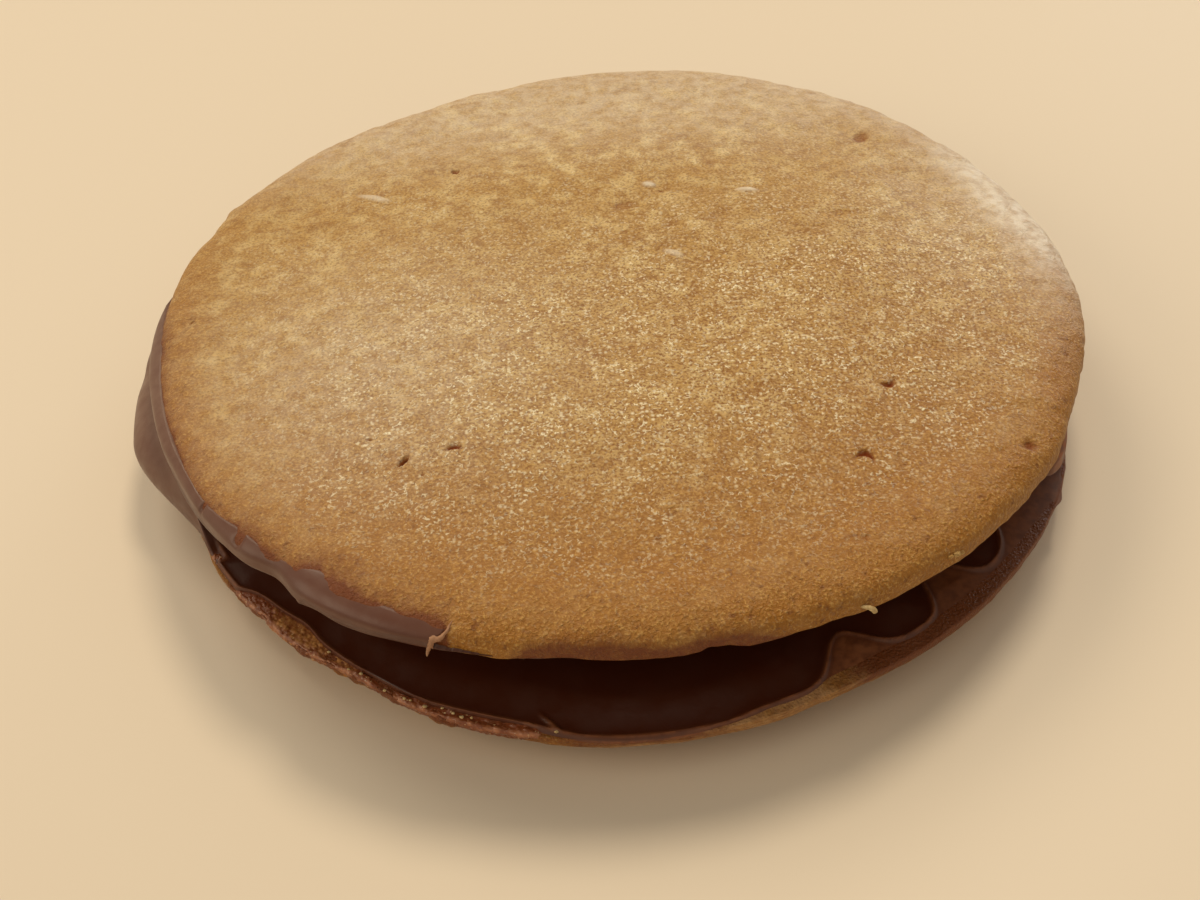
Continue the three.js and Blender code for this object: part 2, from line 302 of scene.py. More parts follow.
LOWER_OUTLINE = Outline(
    34.0,
    (Wave(2, 0.09, 90.0), Wave(3, 0.12, 31.0), Wave(6, 0.16, 24.0)),
    (Lobe(203.0, 3.0, -0.2), Lobe(218.0, 2.5, -0.25), Lobe(234.0, 6.5, -0.4), Lobe(257.0, 6.0, -0.12),
     Lobe(271.0, 23.0, -0.24), Lobe(291.0, 9.0, -0.12), Lobe(340.0, 5.0, -0.65)),
)
UPPER_OUTLINE = Outline(
    34.15,
    (Wave(2, 0.11, 0.0), Wave(3, 0.10, -49.0), Wave(4, 0.26, -27.0), Wave(5, 0.16, 6.0)),
    (Lobe(125.0, 25.0, 0.2), Lobe(150.6, 1.2, 0.2), Lobe(155.5, 3.0, -0.25), Lobe(225.5, 3.2, -0.45),
     Lobe(275.5, 1.6, -0.12), Lobe(333.0, 3.0, -0.15), Lobe(340.0, 6.5, -0.3)),
)


@dataclass(frozen=True)
class Stack:
    """How the two halves lie on one another."""

    flat: float = 3.45  # Height of the lower biscuit's flat face.
    spacing: float = 4.25  # From flat face to flat face in the middle.
    shift_x: float = -0.2  # How far the upper half lies to the right of the lower one.
    shift_y: float = 0.75  # How far it lies to the back.
    pitch: float = 4.35  # Degrees by which the upper half rises towards the front.
    roll: float = 1.0  # Degrees by which it drops towards the right.
    facets: int = 104  # Facets round the CAD solids, which fix the lower middle.

    def middle(self) -> Array:
        """Place of the lower biscuit's middle in the frame.

        Formula: the middle of the CAD solid's box less the middle of the box of the outline
        taken at the same facets.

        Returns:
            x and y.
        """
        low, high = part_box("bottom_biscuit")
        bearing = np.arange(self.facets) * 360.0 / self.facets
        x, y = polar(LOWER_OUTLINE.at(bearing), bearing)
        box = np.array([low[:2], high[:2]]).mean(axis=0) / MM
        return box - np.array([(x.min() + x.max()) / 2.0, (y.min() + y.max()) / 2.0])

    def gap_at(self, x: Array, y: Array) -> Array:
        """Distance between the flat faces: the spacing, less the two slopes times the place.

        Args:
            x: Places.
            y: The same, to the back.

        Returns:
            The distance at each.
        """
        rise = (y - self.shift_y) * math.tan(math.radians(self.pitch))
        fall = (x - self.shift_x) * math.tan(math.radians(self.roll))
        return self.spacing - rise - fall

    def place(self, points: Array, half: Half) -> Array:
        """Moves a half's points to where they lie in the frame.

        Formula: upper points turn by the roll and the pitch and move to the upper middle; lower
        points only move.

        Args:
            points: Places about the half's own middle and flat face, one to a row.
            half: Which half they belong to.

        Returns:
            Places in the frame.
        """
        lift = np.array([0.0, 0.0, self.flat])
        if half is Half.UPPER:
            tilt = Matrix.Rotation(-math.radians(self.pitch), 3, "X")
            tilt = tilt @ Matrix.Rotation(math.radians(self.roll), 3, "Y")
            points = points @ np.array(tilt).T
            lift = lift + np.array([self.shift_x, self.shift_y, self.spacing])
        return points + lift + np.append(self.middle(), 0.0)


STACK = Stack()


# ---- Putting a mesh into the scene ----


class Skin:
    """Collects the points, faces and painted values of one piece and puts it into the scene."""

    def __init__(self, name: str) -> None:
        """Starts an empty piece of that name.

        Args:
            name: Its name.
        """
        self.name = name
        self.points: list[Array] = []
        self.faces: list[Array] = []
        self.paint: dict[str, list[Array]] = {}

    def add(self, points: Array, faces: list[Array], paint: dict[str, Array]) -> None:
        """Adds a patch.

        Args:
            points: Places in the frame in millimetres, one to a row.
            faces: Arrays of faces of one kind, whose numbers count from this patch's first point.
            paint: Values to a point, under their names.
        """
        first = sum(len(patch) for patch in self.points)
        self.points.append(points)
        self.faces.extend(patch + first for patch in faces)
        for name, values in paint.items():
            self.paint.setdefault(name, []).append(values)

    def build(
        self, material: Material, slot: str, nodes: tuple[str, ...] = ()
    ) -> bpy.types.Object:
        """Makes the mesh object.

        Args:
            material: Its finish.
            slot: Not used.
            nodes: CAD nodes that it stands for.

        Returns:
            The object, riding on the root body.
        """
        mesh = bpy.data.meshes.new(self.name)
        points = np.concatenate(self.points) * MM
        corners = np.concatenate([patch.ravel() for patch in self.faces])
        sizes = np.concatenate([np.full(len(patch), patch.shape[1]) for patch in self.faces])
        starts = np.concatenate([[0], np.cumsum(sizes)[:-1]])
        mesh.vertices.add(len(points))
        mesh.vertices.foreach_set("co", points.astype(np.float32).ravel())
        mesh.loops.add(len(corners))
        mesh.loops.foreach_set("vertex_index", corners.astype(np.int32))
        mesh.polygons.add(len(sizes))
        mesh.polygons.foreach_set("loop_start", starts.astype(np.int32))
        mesh.update(calc_edges=True)
        mesh.validate()
        mesh.shade_smooth()
        for name, values in self.paint.items():
            layer = mesh.attributes.new(name, "FLOAT", "POINT")
            layer.data.foreach_set("value", np.concatenate(values).astype(np.float32))
        mesh.materials.append(material)
        piece = bpy.data.objects.new(self.name, mesh)
        bpy.context.scene.collection.objects.link(piece)
        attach(piece, "root")
        if nodes:
            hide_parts(*nodes)
        triangles = int((sizes - 2).sum())
        log.info("%s: %d points, %d triangles", self.name, len(points), triangles)
        return piece


def faces_from(*corners: Array) -> Array:
    """Faces from the numbers of their first, second and further corners, one array to a corner."""
    return np.stack([corner.ravel() for corner in np.broadcast_arrays(*corners)], axis=1)


class DiscGrid:
    """A square grid bent into a disc, and closed underneath by rings that halve their count.

    Each point has a bearing and a stage: 0 to 1 over the disc, from its middle to its edge, and 1
    to 2 underneath, from the edge back to the middle.
    """

    FULL_RINGS = (1.003, 1.006, 1.009, 1.012, 1.015, 1.018, 1.03)
    HALF_RINGS = (1.06, 1.12, 1.22, 1.4, 1.65)

    def __init__(self, cells: int) -> None:
        """Lays out the grid.

        Formula: a point's ring is the larger of its two distances from the middle, and its bearing
        goes evenly round the square, so ring k becomes a circle of 8k points.

        Args:
            cells: Cells along a side.
        """
        side = np.linspace(-1.0, 1.0, cells + 1)
        across, up = (grid.ravel() for grid in np.meshgrid(side, side))
        wide = np.abs(across) >= np.abs(up)
        larger, smaller = np.where(wide, across, up), np.where(wide, up, across)
        share = 45.0 * smaller / np.where(larger == 0.0, 1.0, larger)
        bearing = np.where(wide, share, 90.0 - share) + np.where(larger < 0.0, 180.0, 0.0)
        self.bearing = bearing % 360.0
        self.stage = np.abs(larger)
        number = np.arange((cells + 1) ** 2).reshape(cells + 1, cells + 1)
        self.faces = [faces_from(number[:-1, :-1], number[:-1, 1:], number[1:, 1:], number[1:, :-1])]
        sides = (number[0, :-1], number[:-1, -1], number[-1, :0:-1], number[:0:-1, 0])
        self._close(np.concatenate(sides))

    def _close(self, rim: Array) -> None:
        """Adds the rings under the disc: bands of quads, then bands that halve, then a fan.

        Args:
            rim: Numbers of the points round the disc's edge.
        """
        for stage in self.FULL_RINGS:
            ring = self._ring(self.bearing[rim], stage)
            self.faces.append(faces_from(rim, ring, np.roll(ring, -1), np.roll(rim, -1)))
            rim = ring
        for stage in self.HALF_RINGS:
            even, odd, after = rim[::2], rim[1::2], np.roll(rim[::2], -1)
            rim = self._ring(self.bearing[even], stage)
            next_ring = np.roll(rim, -1)
            for corners in ((even, rim, odd), (odd, rim, next_ring), (odd, next_ring, after)):
                self.faces.append(faces_from(*corners))
        middle = self._ring(np.zeros(1), 2.0)
        self.faces.append(faces_from(rim, middle, np.roll(rim, -1)))

    def _ring(self, bearing: Array, stage: float) -> Array:
        """Adds points at those bearings and one stage.

        Args:
            bearing: The points' bearings.
            stage: Their stage.

        Returns:
            Their numbers.
        """
        first = len(self.bearing)
        self.bearing = np.append(self.bearing, bearing)
        self.stage = np.append(self.stage, np.full(len(bearing), stage))
        return np.arange(first, first + len(bearing))


def polar_faces(steps: int, rings: int) -> list[Array]:
    """Faces of a closed body whose sections run from a lower axis point round to an upper one.

    The points are the lower axis point, the rings' points bearing by bearing, and the upper one.

    Args:
        steps: Number of bearings.
        rings: Points in a section between the two axis points.

    Returns:
        Arrays of triangles and quads.
    """
    at = 1 + np.arange(steps * rings).reshape(steps, rings)
    after = np.roll(at, -1, axis=0)
    return [
        faces_from(0, after[:, 0], at[:, 0]),
        faces_from(at[:, :-1], after[:, :-1], after[:, 1:], at[:, 1:]),
        faces_from(at[:, -1], after[:, -1], 1 + steps * rings),
    ]


def add_tube(skin: Skin, sections: Array, paint: dict[str, Array]) -> None:
    """Adds a body made of closed sections one after another, with a fan over each end.

    Args:
        skin: The piece that it is added to.
        sections: Places in the frame: section, point round it, x y z. The points run round
            clockwise as seen looking along the body.
        paint: One value to a point, in the same order.
    """
    steps, around, _ = sections.shape
    count = steps * around
    at = np.arange(count).reshape(steps, around)
    after = np.roll(at, -1, axis=1)
    faces = [
        faces_from(at[:-1], after[:-1], after[1:], at[1:]),
        faces_from(count, after[0], at[0]),
        faces_from(count + 1, at[-1], after[-1]),
    ]
    caps = np.stack([sections[0].mean(axis=0), sections[-1].mean(axis=0)])
    values = {
        name: np.concatenate([grid.ravel(), [grid[0].mean(), grid[-1].mean()]])
        for name, grid in paint.items()
    }
    skin.add(np.concatenate([sections.reshape(-1, 3), caps]), faces, values)


# ---- Biscuits ----


@dataclass(frozen=True)
class BiscuitForm:
    """The section of a biscuit that lies on its flat face, domed face up."""

    outline: Outline  # Its uneven edge.
    edge_height: float = 0.5  # Thickness of the blunt edge.
    rim_width: float = 4.5  # How far in from the edge the rim rounds over.
    rim_height: float = 2.15  # Height where the rim ends.
    crown: float = 1.3  # Further rise to the middle.
    level_radius: float = 12.0  # The middle is level out to here.
    corner: float = 0.14  # Rounding of the blunt edge's corner beside the flat face.
    worn: tuple[Lobe, ...] = ()  # Places where the edge's lower side is worn away upward, by so much.

    SECTION_STEPS = 4000
    STRETCH_WIDTH = 16.0
    SIDE_END = 1.009
    CORNER_END = 1.018
    WORN_END = 0.06
    SLOPE_STEP = 0.01

    def height(self, radius: Array, edge: Array) -> Array:
        """Height of the domed face over the flat one.

        Formula: the middle stands over the rim by the crown times the square of one less the
        squared share of the way out, and the rim falls as a quarter ellipse.

        Args:
            radius: Distance from the middle.
            edge: Radius of the edge at the same bearing.

        Returns:
            The height.
        """
        rim = edge - self.rim_width
        out = np.clip((radius - self.level_radius) / (rim - self.level_radius), 0.0, 1.0)
        dome = self.rim_height + self.crown * (1.0 - out**2) ** 2
        over = np.clip((radius - rim) / self.rim_width, 0.0, 1.0)
        return self.edge_height + (dome - self.edge_height) * np.sqrt(1.0 - over**2)

    def section(self, stage: Array, bearing: Array) -> tuple[Array, Array, Array, Array]:
        """Places and outward directions on the section.

        Formula: stages 0 to 1 are equal lengths along a round domed face, stretched to the uneven
        edge; later ones go down the edge, round its corner and straight back to the middle.

        Args:
            stage: Where on the section, 0 to 2.
            bearing: The bearing of each place.

        Returns:
            Radius, height, and the radial and upward parts of the outward direction.
        """
        mean, corner = self.outline.radius, self.corner
        fine = mean * np.sin(np.linspace(0.0, math.pi / 2.0, self.SECTION_STEPS))
        steps = np.hypot(np.diff(fine), np.diff(self.height(fine, mean)))
        length = np.concatenate([[0.0], np.cumsum(steps)])
        round_radius = np.interp(np.minimum(stage, 1.0), length / length[-1], fine)
        edge = self.outline.at(bearing)
        radius = round_radius + (edge - mean) * ramp(round_radius, mean - self.STRETCH_WIDTH, mean)
        height = self.height(radius, edge)
        before = self.height(np.maximum(radius - self.SLOPE_STEP, 0.0), edge)
        slope = (height - before) / self.SLOPE_STEP
        size = np.hypot(slope, 1.0)
        down = portion(stage, 1.0, self.SIDE_END)
        under = portion(stage, self.SIDE_END, self.CORNER_END) * math.pi / 2.0
        back = portion(stage, self.CORNER_END, 2.0)
        worn = lobes_at(self.worn, bearing)
        side = blend(self.edge_height, corner + worn, down) - corner * np.sin(under)
        side = side - worn * ramp(back, 0.0, self.WORN_END)
        below = stage > 1.0
        radius = np.where(below, (edge - corner * (1.0 - np.cos(under))) * (1.0 - back), radius)
        height = np.where(below, side, height)
        outward = np.where(below, np.cos(under), -slope / size)
        upward = np.where(below, -np.sin(under), 1.0 / size)
        return radius, height, outward, upward


LOWER_FORM = BiscuitForm(LOWER_OUTLINE)
UPPER_FORM = BiscuitForm(
    UPPER_OUTLINE,
    edge_height=1.0,
    rim_height=2.65,
    worn=(Lobe(260.5, 3.0, 0.26), Lobe(275.6, 0.7, 0.22), Lobe(277.3, 1.5, 0.4), Lobe(285.5, 1.6, 0.16),
          Lobe(289.0, 1.0, 0.14), Lobe(304.0, 2.0, 0.12), Lobe(313.0, 1.6, 0.1)),
)


@dataclass(frozen=True)
class Mark:
    """A small hole, dent or spot on a domed face."""

    radius: float  # Distance of its middle from the biscuit's middle.
    bearing: float  # Bearing of its middle.
    length: float  # Half its length.
    width: float  # Half its width.
    angle: float  # Bearing of its long axis.
    depth: float  # How deep it is; less than 0 is a blister.
    bow: float = 0.0  # How far its ends curve away, in parts of its length.

    def away(self, x: Array, y: Array) -> Array:
        """Distance from its middle in half lengths and half widths, 1 on its border.

        Formula: the place is turned to the long axis, the bow's parabola is taken off, and the two
        shares are added as squares.

        Args:
            x: Places.
            y: The same, to the back.

        Returns:
            The distances.
        """
        middle_x, middle_y = polar(self.radius, self.bearing)
        cos, sin = math.cos(math.radians(self.angle)), math.sin(math.radians(self.angle))
        along = ((x - middle_x) * cos + (y - middle_y) * sin) / self.length
        across = (y - middle_y) * cos - (x - middle_x) * sin + self.bow * self.length * along**2
        return np.hypot(along, across / self.width)


@dataclass(frozen=True)
class Places:
    """Where the points of a biscuit lie about its own middle."""

    x: Array  # To the right.
    y: Array  # To the back.
    height: Array  # Over the flat face.
    radius: Array  # Distance from the middle.
    bearing: Array  # Bearing.
    edge: Array  # Radius of the edge at that bearing.
    points: Array  # x, y and z of the surface, one point to a row.


@dataclass(frozen=True)
class Biscuit:
    """A thin round biscuit with a domed, baked face and a flat face that the coat lies on."""

    name: str
    node: str  # The CAD node that it stands for.
    form: BiscuitForm  # Its section.
    half: Half  # The half that it is shaped on.
    chance: Chance  # Its unevenness.
    marks: tuple[Mark, ...] = ()  # Its holes, dents and spots.

    CELLS = 272
    RELIEF = ((5.5, 0.06), (2.3, 0.06), (1.1, 0.045), (0.6, 0.03))
    PULL = 0.6
    PIT_DEPTH = 0.34
    BLISTER_HEIGHT = 0.16
    PALE_SPOT_AND_HIGHLIGHT = 0.75
    GLINT = 0.6
    RELIEF_END = (1.015, 1.03)

    def relief(self, places: Places) -> Array:
        """How far the surface stands out: swells of several sizes, each times its height."""
        return sum(size * self.chance.clouds(places.points, cell) for cell, size in self.RELIEF)

    def gather(self, x: Array, y: Array) -> tuple[Array, Array]:
        """Draws the grid together round the marks, so that small holes have enough points.

        Formula: each place moves towards a mark's middle by a part of its offset times a bell.

        Args:
            x: Places of the grid's points.
            y: The same, to the back.

        Returns:
            The moved x and y.
        """
        for mark in self.marks:
            middle_x, middle_y = polar(mark.radius, mark.bearing)
            away = np.hypot(x - middle_x, y - middle_y)
            pull = self.PULL * hump(away, 2.2 * mark.length + 0.5)
            x, y = blend(x, middle_x, pull), blend(y, middle_y, pull)
        return x, y

    def stain(self, places: Places) -> Array:
        """Share of chocolate film on the crust, 0 to 1."""
        return np.zeros_like(places.radius)

    def glint(self, places: Places) -> Array:
        """Share of the finest pale flecks: pale grains and painted glints, 0 to 1."""
        return np.full_like(places.radius, self.GLINT)

    def painted_sheen(self, places: Places) -> Array:
        """Share of painted sheen, a whitish colour for the lamps' reflection, 0 to 1."""
        return np.zeros_like(places.radius)

    def split(self, places: Places) -> Array:
        """Share of split layers in the rim's side, 0 to 1."""
        return np.zeros_like(places.radius)

    def brown(self, places: Places) -> Array:
        """Browning: rises smoothly over the last millimetres to the edge, with cloudy borders."""
        cloud = self.chance.clouds(places.points + 50.0, 3.2, 3)
        return ramp(places.radius - places.edge + 1.6 * cloud, -6.5, -0.2)

    def build(self, material: Material) -> bpy.types.Object:
        """Builds the piece.

        Formula: the form's section at each point of a disc grid, pushed outward by the relief and
        inward by each mark's depth times a smooth step of the distance from it.

        Args:
            material: The crust's finish.

        Returns:
            The object.
        """
        grid = DiscGrid(self.CELLS)
        bearing = grid.bearing
        edge = self.form.outline.at(bearing)
        radius, height, outward, upward = self.form.section(grid.stage, bearing)
        x, y = polar(radius, bearing)
        domed = grid.stage < 1.0
        inner = domed & (radius < edge - 1.0)
        x, y = (np.where(inner, near, far) for near, far in zip(self.gather(x, y), (x, y)))
        radius = np.where(inner, np.hypot(x, y), radius)
        height = np.where(inner, self.form.height(radius, edge), height)
        points = np.column_stack([x, y, height])
        places = Places(x, y, height, radius, bearing, edge, points)
        pit_shade, pale_spot_and_highlight = np.zeros_like(radius), np.zeros_like(radius)
        lift = self.relief(places)
        for mark in self.marks:
            hollow = 1.0 - ramp(np.where(domed, mark.away(x, y), FAR), 0.5, 1.2)
            lift = lift - mark.depth * hollow
            # Painted shade: each hole darkens with its depth.
            pit_shade = np.maximum(pit_shade, hollow * portion(mark.depth, 0.0, self.PIT_DEPTH))
            # Pale spots and painted highlights on the raised blisters.
            pale_spot_and_highlight = np.maximum(pale_spot_and_highlight, hollow * portion(-mark.depth, 0.0, self.BLISTER_HEIGHT))
        lift = lift * (1.0 - ramp(grid.stage, *self.RELIEF_END))
        points = points + lift[:, None] * spot(outward, bearing, upward)
        places = replace(places, points=points)
        paint = {
            "pit_shade": pit_shade,
            "brown": self.brown(places),
            "stain": self.stain(places),
            "glint": self.glint(places),
            "split": self.split(places),
            "painted_sheen": self.painted_sheen(places) * domed,
            "pale_spot_and_highlight": self.PALE_SPOT_AND_HIGHLIGHT * pale_spot_and_highlight,
        }
        faces = grid.faces
        if self.half is Half.LOWER:
            points[:, 2] = -np.clip(points[:, 2], 0.0, STACK.flat)
            faces = [patch[:, ::-1] for patch in faces]
        skin = Skin(self.name)
        skin.add(STACK.place(points, self.half), faces, paint)
        return skin.build(material, "biscuit", (self.node,))


@dataclass(frozen=True)
class TopBiscuit(Biscuit):
    """The upper biscuit, whose domed face is the cookie's top."""

    name: str = "top_crust"
    node: str = "top_biscuit"
    form: BiscuitForm = UPPER_FORM
    half: Half = Half.UPPER
    chance: Chance = Chance(5)
    marks: tuple[Mark, ...] = (
        Mark(23.0, 228.4, 0.5, 0.22, 48.0, 0.45),
        Mark(20.35, 234.2, 0.6, 0.24, 2.0, 0.26, 0.35),
        Mark(22.9, 219.9, 0.17, 0.12, 0.0, 0.2),
        Mark(23.3, 233.1, 0.22, 0.1, 8.0, 0.15),
        Mark(22.6, 322.9, 0.6, 0.3, 20.0, 0.27, -0.8),
        Mark(25.2, 307.4, 0.7, 0.28, -20.0, 0.3, 0.8),
        Mark(20.8, 123.9, 0.4, 0.28, 150.0, 0.25),
        Mark(12.8, 73.0, 0.6, 0.4, 160.0, -0.16),
        Mark(12.1, 67.5, 0.24, 0.16, 0.0, 0.16),
        Mark(9.8, 81.0, 0.9, 0.6, 10.0, 0.1),
        Mark(5.5, 30.3, 0.9, 0.35, 145.0, -0.11),
        Mark(15.4, 43.0, 0.9, 0.4, 170.0, -0.15),
        Mark(23.4, 141.0, 1.7, 0.45, 147.0, -0.12),
        Mark(32.9, 323.1, 0.5, 0.36, 60.0, 0.2),
        Mark(28.4, 40.4, 0.9, 0.65, 60.0, 0.16),
        Mark(31.5, 178.0, 0.22, 0.1, 30.0, 0.12),
        Mark(30.9, 297.0, 0.3, 0.22, 0.0, 0.1),
    )
    front: Span = Span(205.0, 335.0, 70.0)  # Bearings at which the crust is browner farther in, towards the front.
    behind: Span = Span(12.0, 168.0, 40.0)  # Bearings at which the rim is less brown, behind.
    right: Lobe = Lobe(338.0, 20.0, 0.4)  # How far in the crust is browner at the right.
    painted_rim_sheen: Lobe = Lobe(14.0, 17.0, 1.0)  # Painted sheen along the rim.
    painted_right_sheen: Lobe = Lobe(16.0, 24.0, 0.32)  # Painted sheen farther in at the right.

    def glint(self, places: Places) -> Array:
        """The pale flecks, pale grains with painted glints, are thickest in a band across the middle
        where the lamps reflect, and thin at the back left.

        Formula: a bell of the distance from a slanting line, on top of an even share that runs
        out at the rim.

        Args:
            places: Where its points lie.

        Returns:
            Shares from 0 to 1.
        """
        x, y, radius = places.x, places.y, places.radius
        band = hump(0.99 * y - 0.1 * x + 9.0, 14.0) * ramp(x, -30.0, -12.0)
        even = 0.3 * (1.0 - 0.7 * ramp(radius, 27.0, 32.0))
        return np.clip(even + 0.9 * band * (1.0 - ramp(radius, 29.0, 33.0)), 0.0, 1.0)

    def brown(self, places: Places) -> Array:
        """Browning at the rim, weaker behind, and a browner colour that reaches farther in at the front
        and the right.

        Args:
            places: Where its points lie.

        Returns:
            Shares from 0 to 1.
        """
        front = 0.9 * self.front.at(places.bearing) * ramp(places.radius, 12.0, 30.0)
        right = self.right.at(places.bearing) * ramp(places.radius, 18.0, 30.0)
        rim = super().brown(places) * (1.0 - 0.7 * self.behind.at(places.bearing))
        return np.maximum(rim, np.maximum(front, right))

    def painted_sheen(self, places: Places) -> Array:
        """Painted sheen: whitish colour for the lamps' reflection along the rim at the right and, weaker,
        over the back and at the left.

        Formula: bells of the bearing times steps of the radius, a step across the depth behind
        and a bell round the left patch's middle.

        Args:
            places: Where its points lie.

        Returns:
            Shares from 0 to 1.
        """
        bearing = np.degrees(np.arctan2(places.y, places.x))
        rim = self.painted_rim_sheen.at(bearing) * ramp(places.radius, 28.5, 32.5)
        right = self.painted_right_sheen.at(bearing) * ramp(places.radius, 18.0, 30.0)
        back = 0.5 * ramp(places.y, 12.0, 28.0)
        patch = 0.34 * hump(np.hypot(places.x + 18.0, places.y + 7.0), 13.0)
        return np.clip(rim + patch + np.maximum(right, back), 0.0, 1.0)

    def relief(self, places: Places) -> Array:
        """The crust's swells, wrinkled more strongly over the right and the back.

        Args:
            places: Where its points lie.

        Returns:
            How far they stand out.
        """
        x, y, points = places.x, places.y, places.points
        wrinkled = np.maximum(ramp(x + 0.6 * y, -6.0, 22.0), ramp(y, 0.0, 14.0))
        broad = 0.1 * self.chance.clouds(points + 60.0, 11.0)
        wrinkles = 0.12 * self.chance.clouds(points * np.array([0.6, 1.0, 1.0]) + 40.0, 1.3, 2)
        return super().relief(places) + broad + wrinkles * wrinkled

    def stain(self, places: Places) -> Array:
        """Chocolate film above the coat's upper edge.

        Formula: 1 up to a little under the coat's upper edge, dying away above it, moved up and
        down by clouds.

        Args:
            places: Where its points lie.

        Returns:
            Shares from 0 to 1.
        """
        coat, bearing = UPPER_COAT, places.bearing
        cloud = self.chance.clouds(places.points + 90.0, 0.9, 3)
        shell = Span(coat.shell_start, coat.shell_end, 1.0).at(bearing)
        film = 0.85 * coat.film_span.at(bearing)
        climb = blend(coat.film.at(bearing), coat.climbs.at(bearing), shell)
        over = np.maximum(places.height - climb + blend(0.45, 0.08, shell) + 0.2 * cloud, 0.0)
        thin = np.exp(-over / blend(0.5, 0.35, shell))
        return thin * np.maximum(shell, film) * ramp(places.radius, 30.0, 31.5)


@dataclass(frozen=True)
class BottomBiscuit(Biscuit):
    """The lower biscuit, which lies on its domed face."""

    name: str = "bottom_crust"
    node: str = "bottom_biscuit"
    form: BiscuitForm = LOWER_FORM
    half: Half = Half.LOWER
    chance: Chance = Chance(3)
    layered: Span = Span(262.0, 332.0, 8.0)  # Bearings at which split layers show in its side.
    # Each stretch of film down its side, and its share.
    films: tuple[tuple[Span, float], ...] = (
        (Span(258.0, 276.0, 6.0), 0.5),
        (Span(276.0, 293.0, 6.0), 0.1),
        (Span(293.0, 350.0, 8.0), 0.85),
    )

    def relief(self, places: Places) -> Array:
        """The crust's swells, none standing out from the level middle, and a crumbling rim.

        Args:
            places: Where its points lie.

        Returns:
            How far they stand out.
        """
        level = 0.12 * (1.0 - ramp(places.radius, 11.0, 16.0))
        crumbly = LOWER_COAT.crumbly.at(places.bearing) * ramp(places.radius, 31.5, 33.2)
        crumbs = 0.3 * self.chance.clouds(places.points + 20.0, 0.9, 3) - 0.05
        return super().relief(places) - level + crumbs * crumbly

    def split(self, places: Places) -> Array:
        """The layers show in the side, at the front and the front right."""
        side = (1.0 - ramp(places.height, 0.6, 1.2)) * ramp(places.radius, 31.5, 32.5)
        return side * self.layered.at(places.bearing)

    def glint(self, places: Places) -> Array:
        """The pale flecks, pale grains with painted glints, fade out towards the rim."""
        return self.GLINT * (1.0 - ramp(np.hypot(places.x, places.y), 29.0, 32.0))

    def stain(self, places: Places) -> Array:
        """Chocolate smeared over the crumbling rim and down the side under the front and right.

        Args:
            places: Where its points lie.

        Returns:
            Shares from 0 to 1.
        """
        cloud = self.chance.clouds(places.points + 90.0, 1.3, 3)
        near = 1.0 - ramp(places.height + 0.35 * cloud, 0.3, 1.3)
        film = sum(share * span.at(places.bearing) for span, share in self.films)
        crumbly = LOWER_COAT.crumbly.at(places.bearing)
        smeared = np.clip(0.25 + 0.75 * crumbly + film, 0.0, 1.0)
        return near * smeared * ramp(places.radius, 29.0, 32.0)


# ---- Chocolate ----


@dataclass(frozen=True)
class Join:
    """Where the two coats are joined and where they stand apart."""

    mouth: Span = Span(205.5, 327.5, 3.0)  # Bearings at which they stand apart at the edge.
    back: float = 8.0  # Where the join begins, behind the middle.
    bow: float = 0.0225  # How its front line bows towards the sides.
    width: float = 6.0  # Width over which the coats part.
    share: float = 0.5  # Height of the seam as a part of the spacing.
    rise: Lobe = Lobe(187.0, 24.0, 0.27)  # How that part rises at the left.
    # Count and size of the waves in that part.
    waves: tuple[tuple[float, float], ...] = ((7.0, 0.02), (17.0, 0.015))
    overlap: float = 0.05  # How far each coat passes the seam.

    def joined(self, bearing: Array, radius: Array, x: Array, y: Array) -> Array:
        """Share of the join: a smooth step across the bowed line, taken off towards the mouth."""
        behind = ramp(y - (self.back - self.bow * x * x), -self.width / 2.0, self.width / 2.0)
        return behind * (1.0 - self.mouth.at(bearing) * ramp(radius, 26.0, 31.0))

    def seam(self, bearing: Array, x: Array, y: Array) -> Array:
        """Height of the seam over the lower flat face: a share of the spacing there."""
        wander = sum(size * np.sin(np.radians(count * bearing)) for count, size in self.waves)
        return (self.share + self.rise.at(bearing) + wander) * STACK.gap_at(x, y)


JOIN = Join()
CHOCOLATE_CHANCE = Chance(7)


def coat_bearings() -> Array:
    """Bearings of a coat's sections: close together at the mouth and the left, wider behind."""
    return np.concatenate([np.arange(158.0, 346.0, 0.22), np.arange(346.0, 518.0, 0.5)])


def build_coat(
    half: Half, bearing: Array, radius: Array, height: Array, paint: dict[str, Array],
    material: Material,
) -> bpy.types.Object:
    """Builds a coat from its sections.

    Args:
        half: The half that it lies on.
        bearing: The sections' bearings.
        radius: Radii, a row to a bearing; the first and last columns are axis points.
        height: Heights in the same order.
        paint: Painted values in the same order.
        material: Its finish.

    Returns:
        The object.
    """
    places = spot(radius, bearing[:, None], height)
    body = places[:, 1:-1].reshape(-1, 3)
    values = {
        key: np.concatenate([grid[:1, 0], grid[:, 1:-1].ravel(), grid[:1, -1]])
        for key, grid in paint.items()
    }
    skin = Skin(f"{half.value}_coat")
    placed = STACK.place(np.concatenate([places[:1, 0], body, places[:1, -1]]), half)
    skin.add(placed, polar_faces(len(bearing), radius.shape[1] - 2), values)
    return skin.build(material, "chocolate", (f"{half.value}_chocolate",))


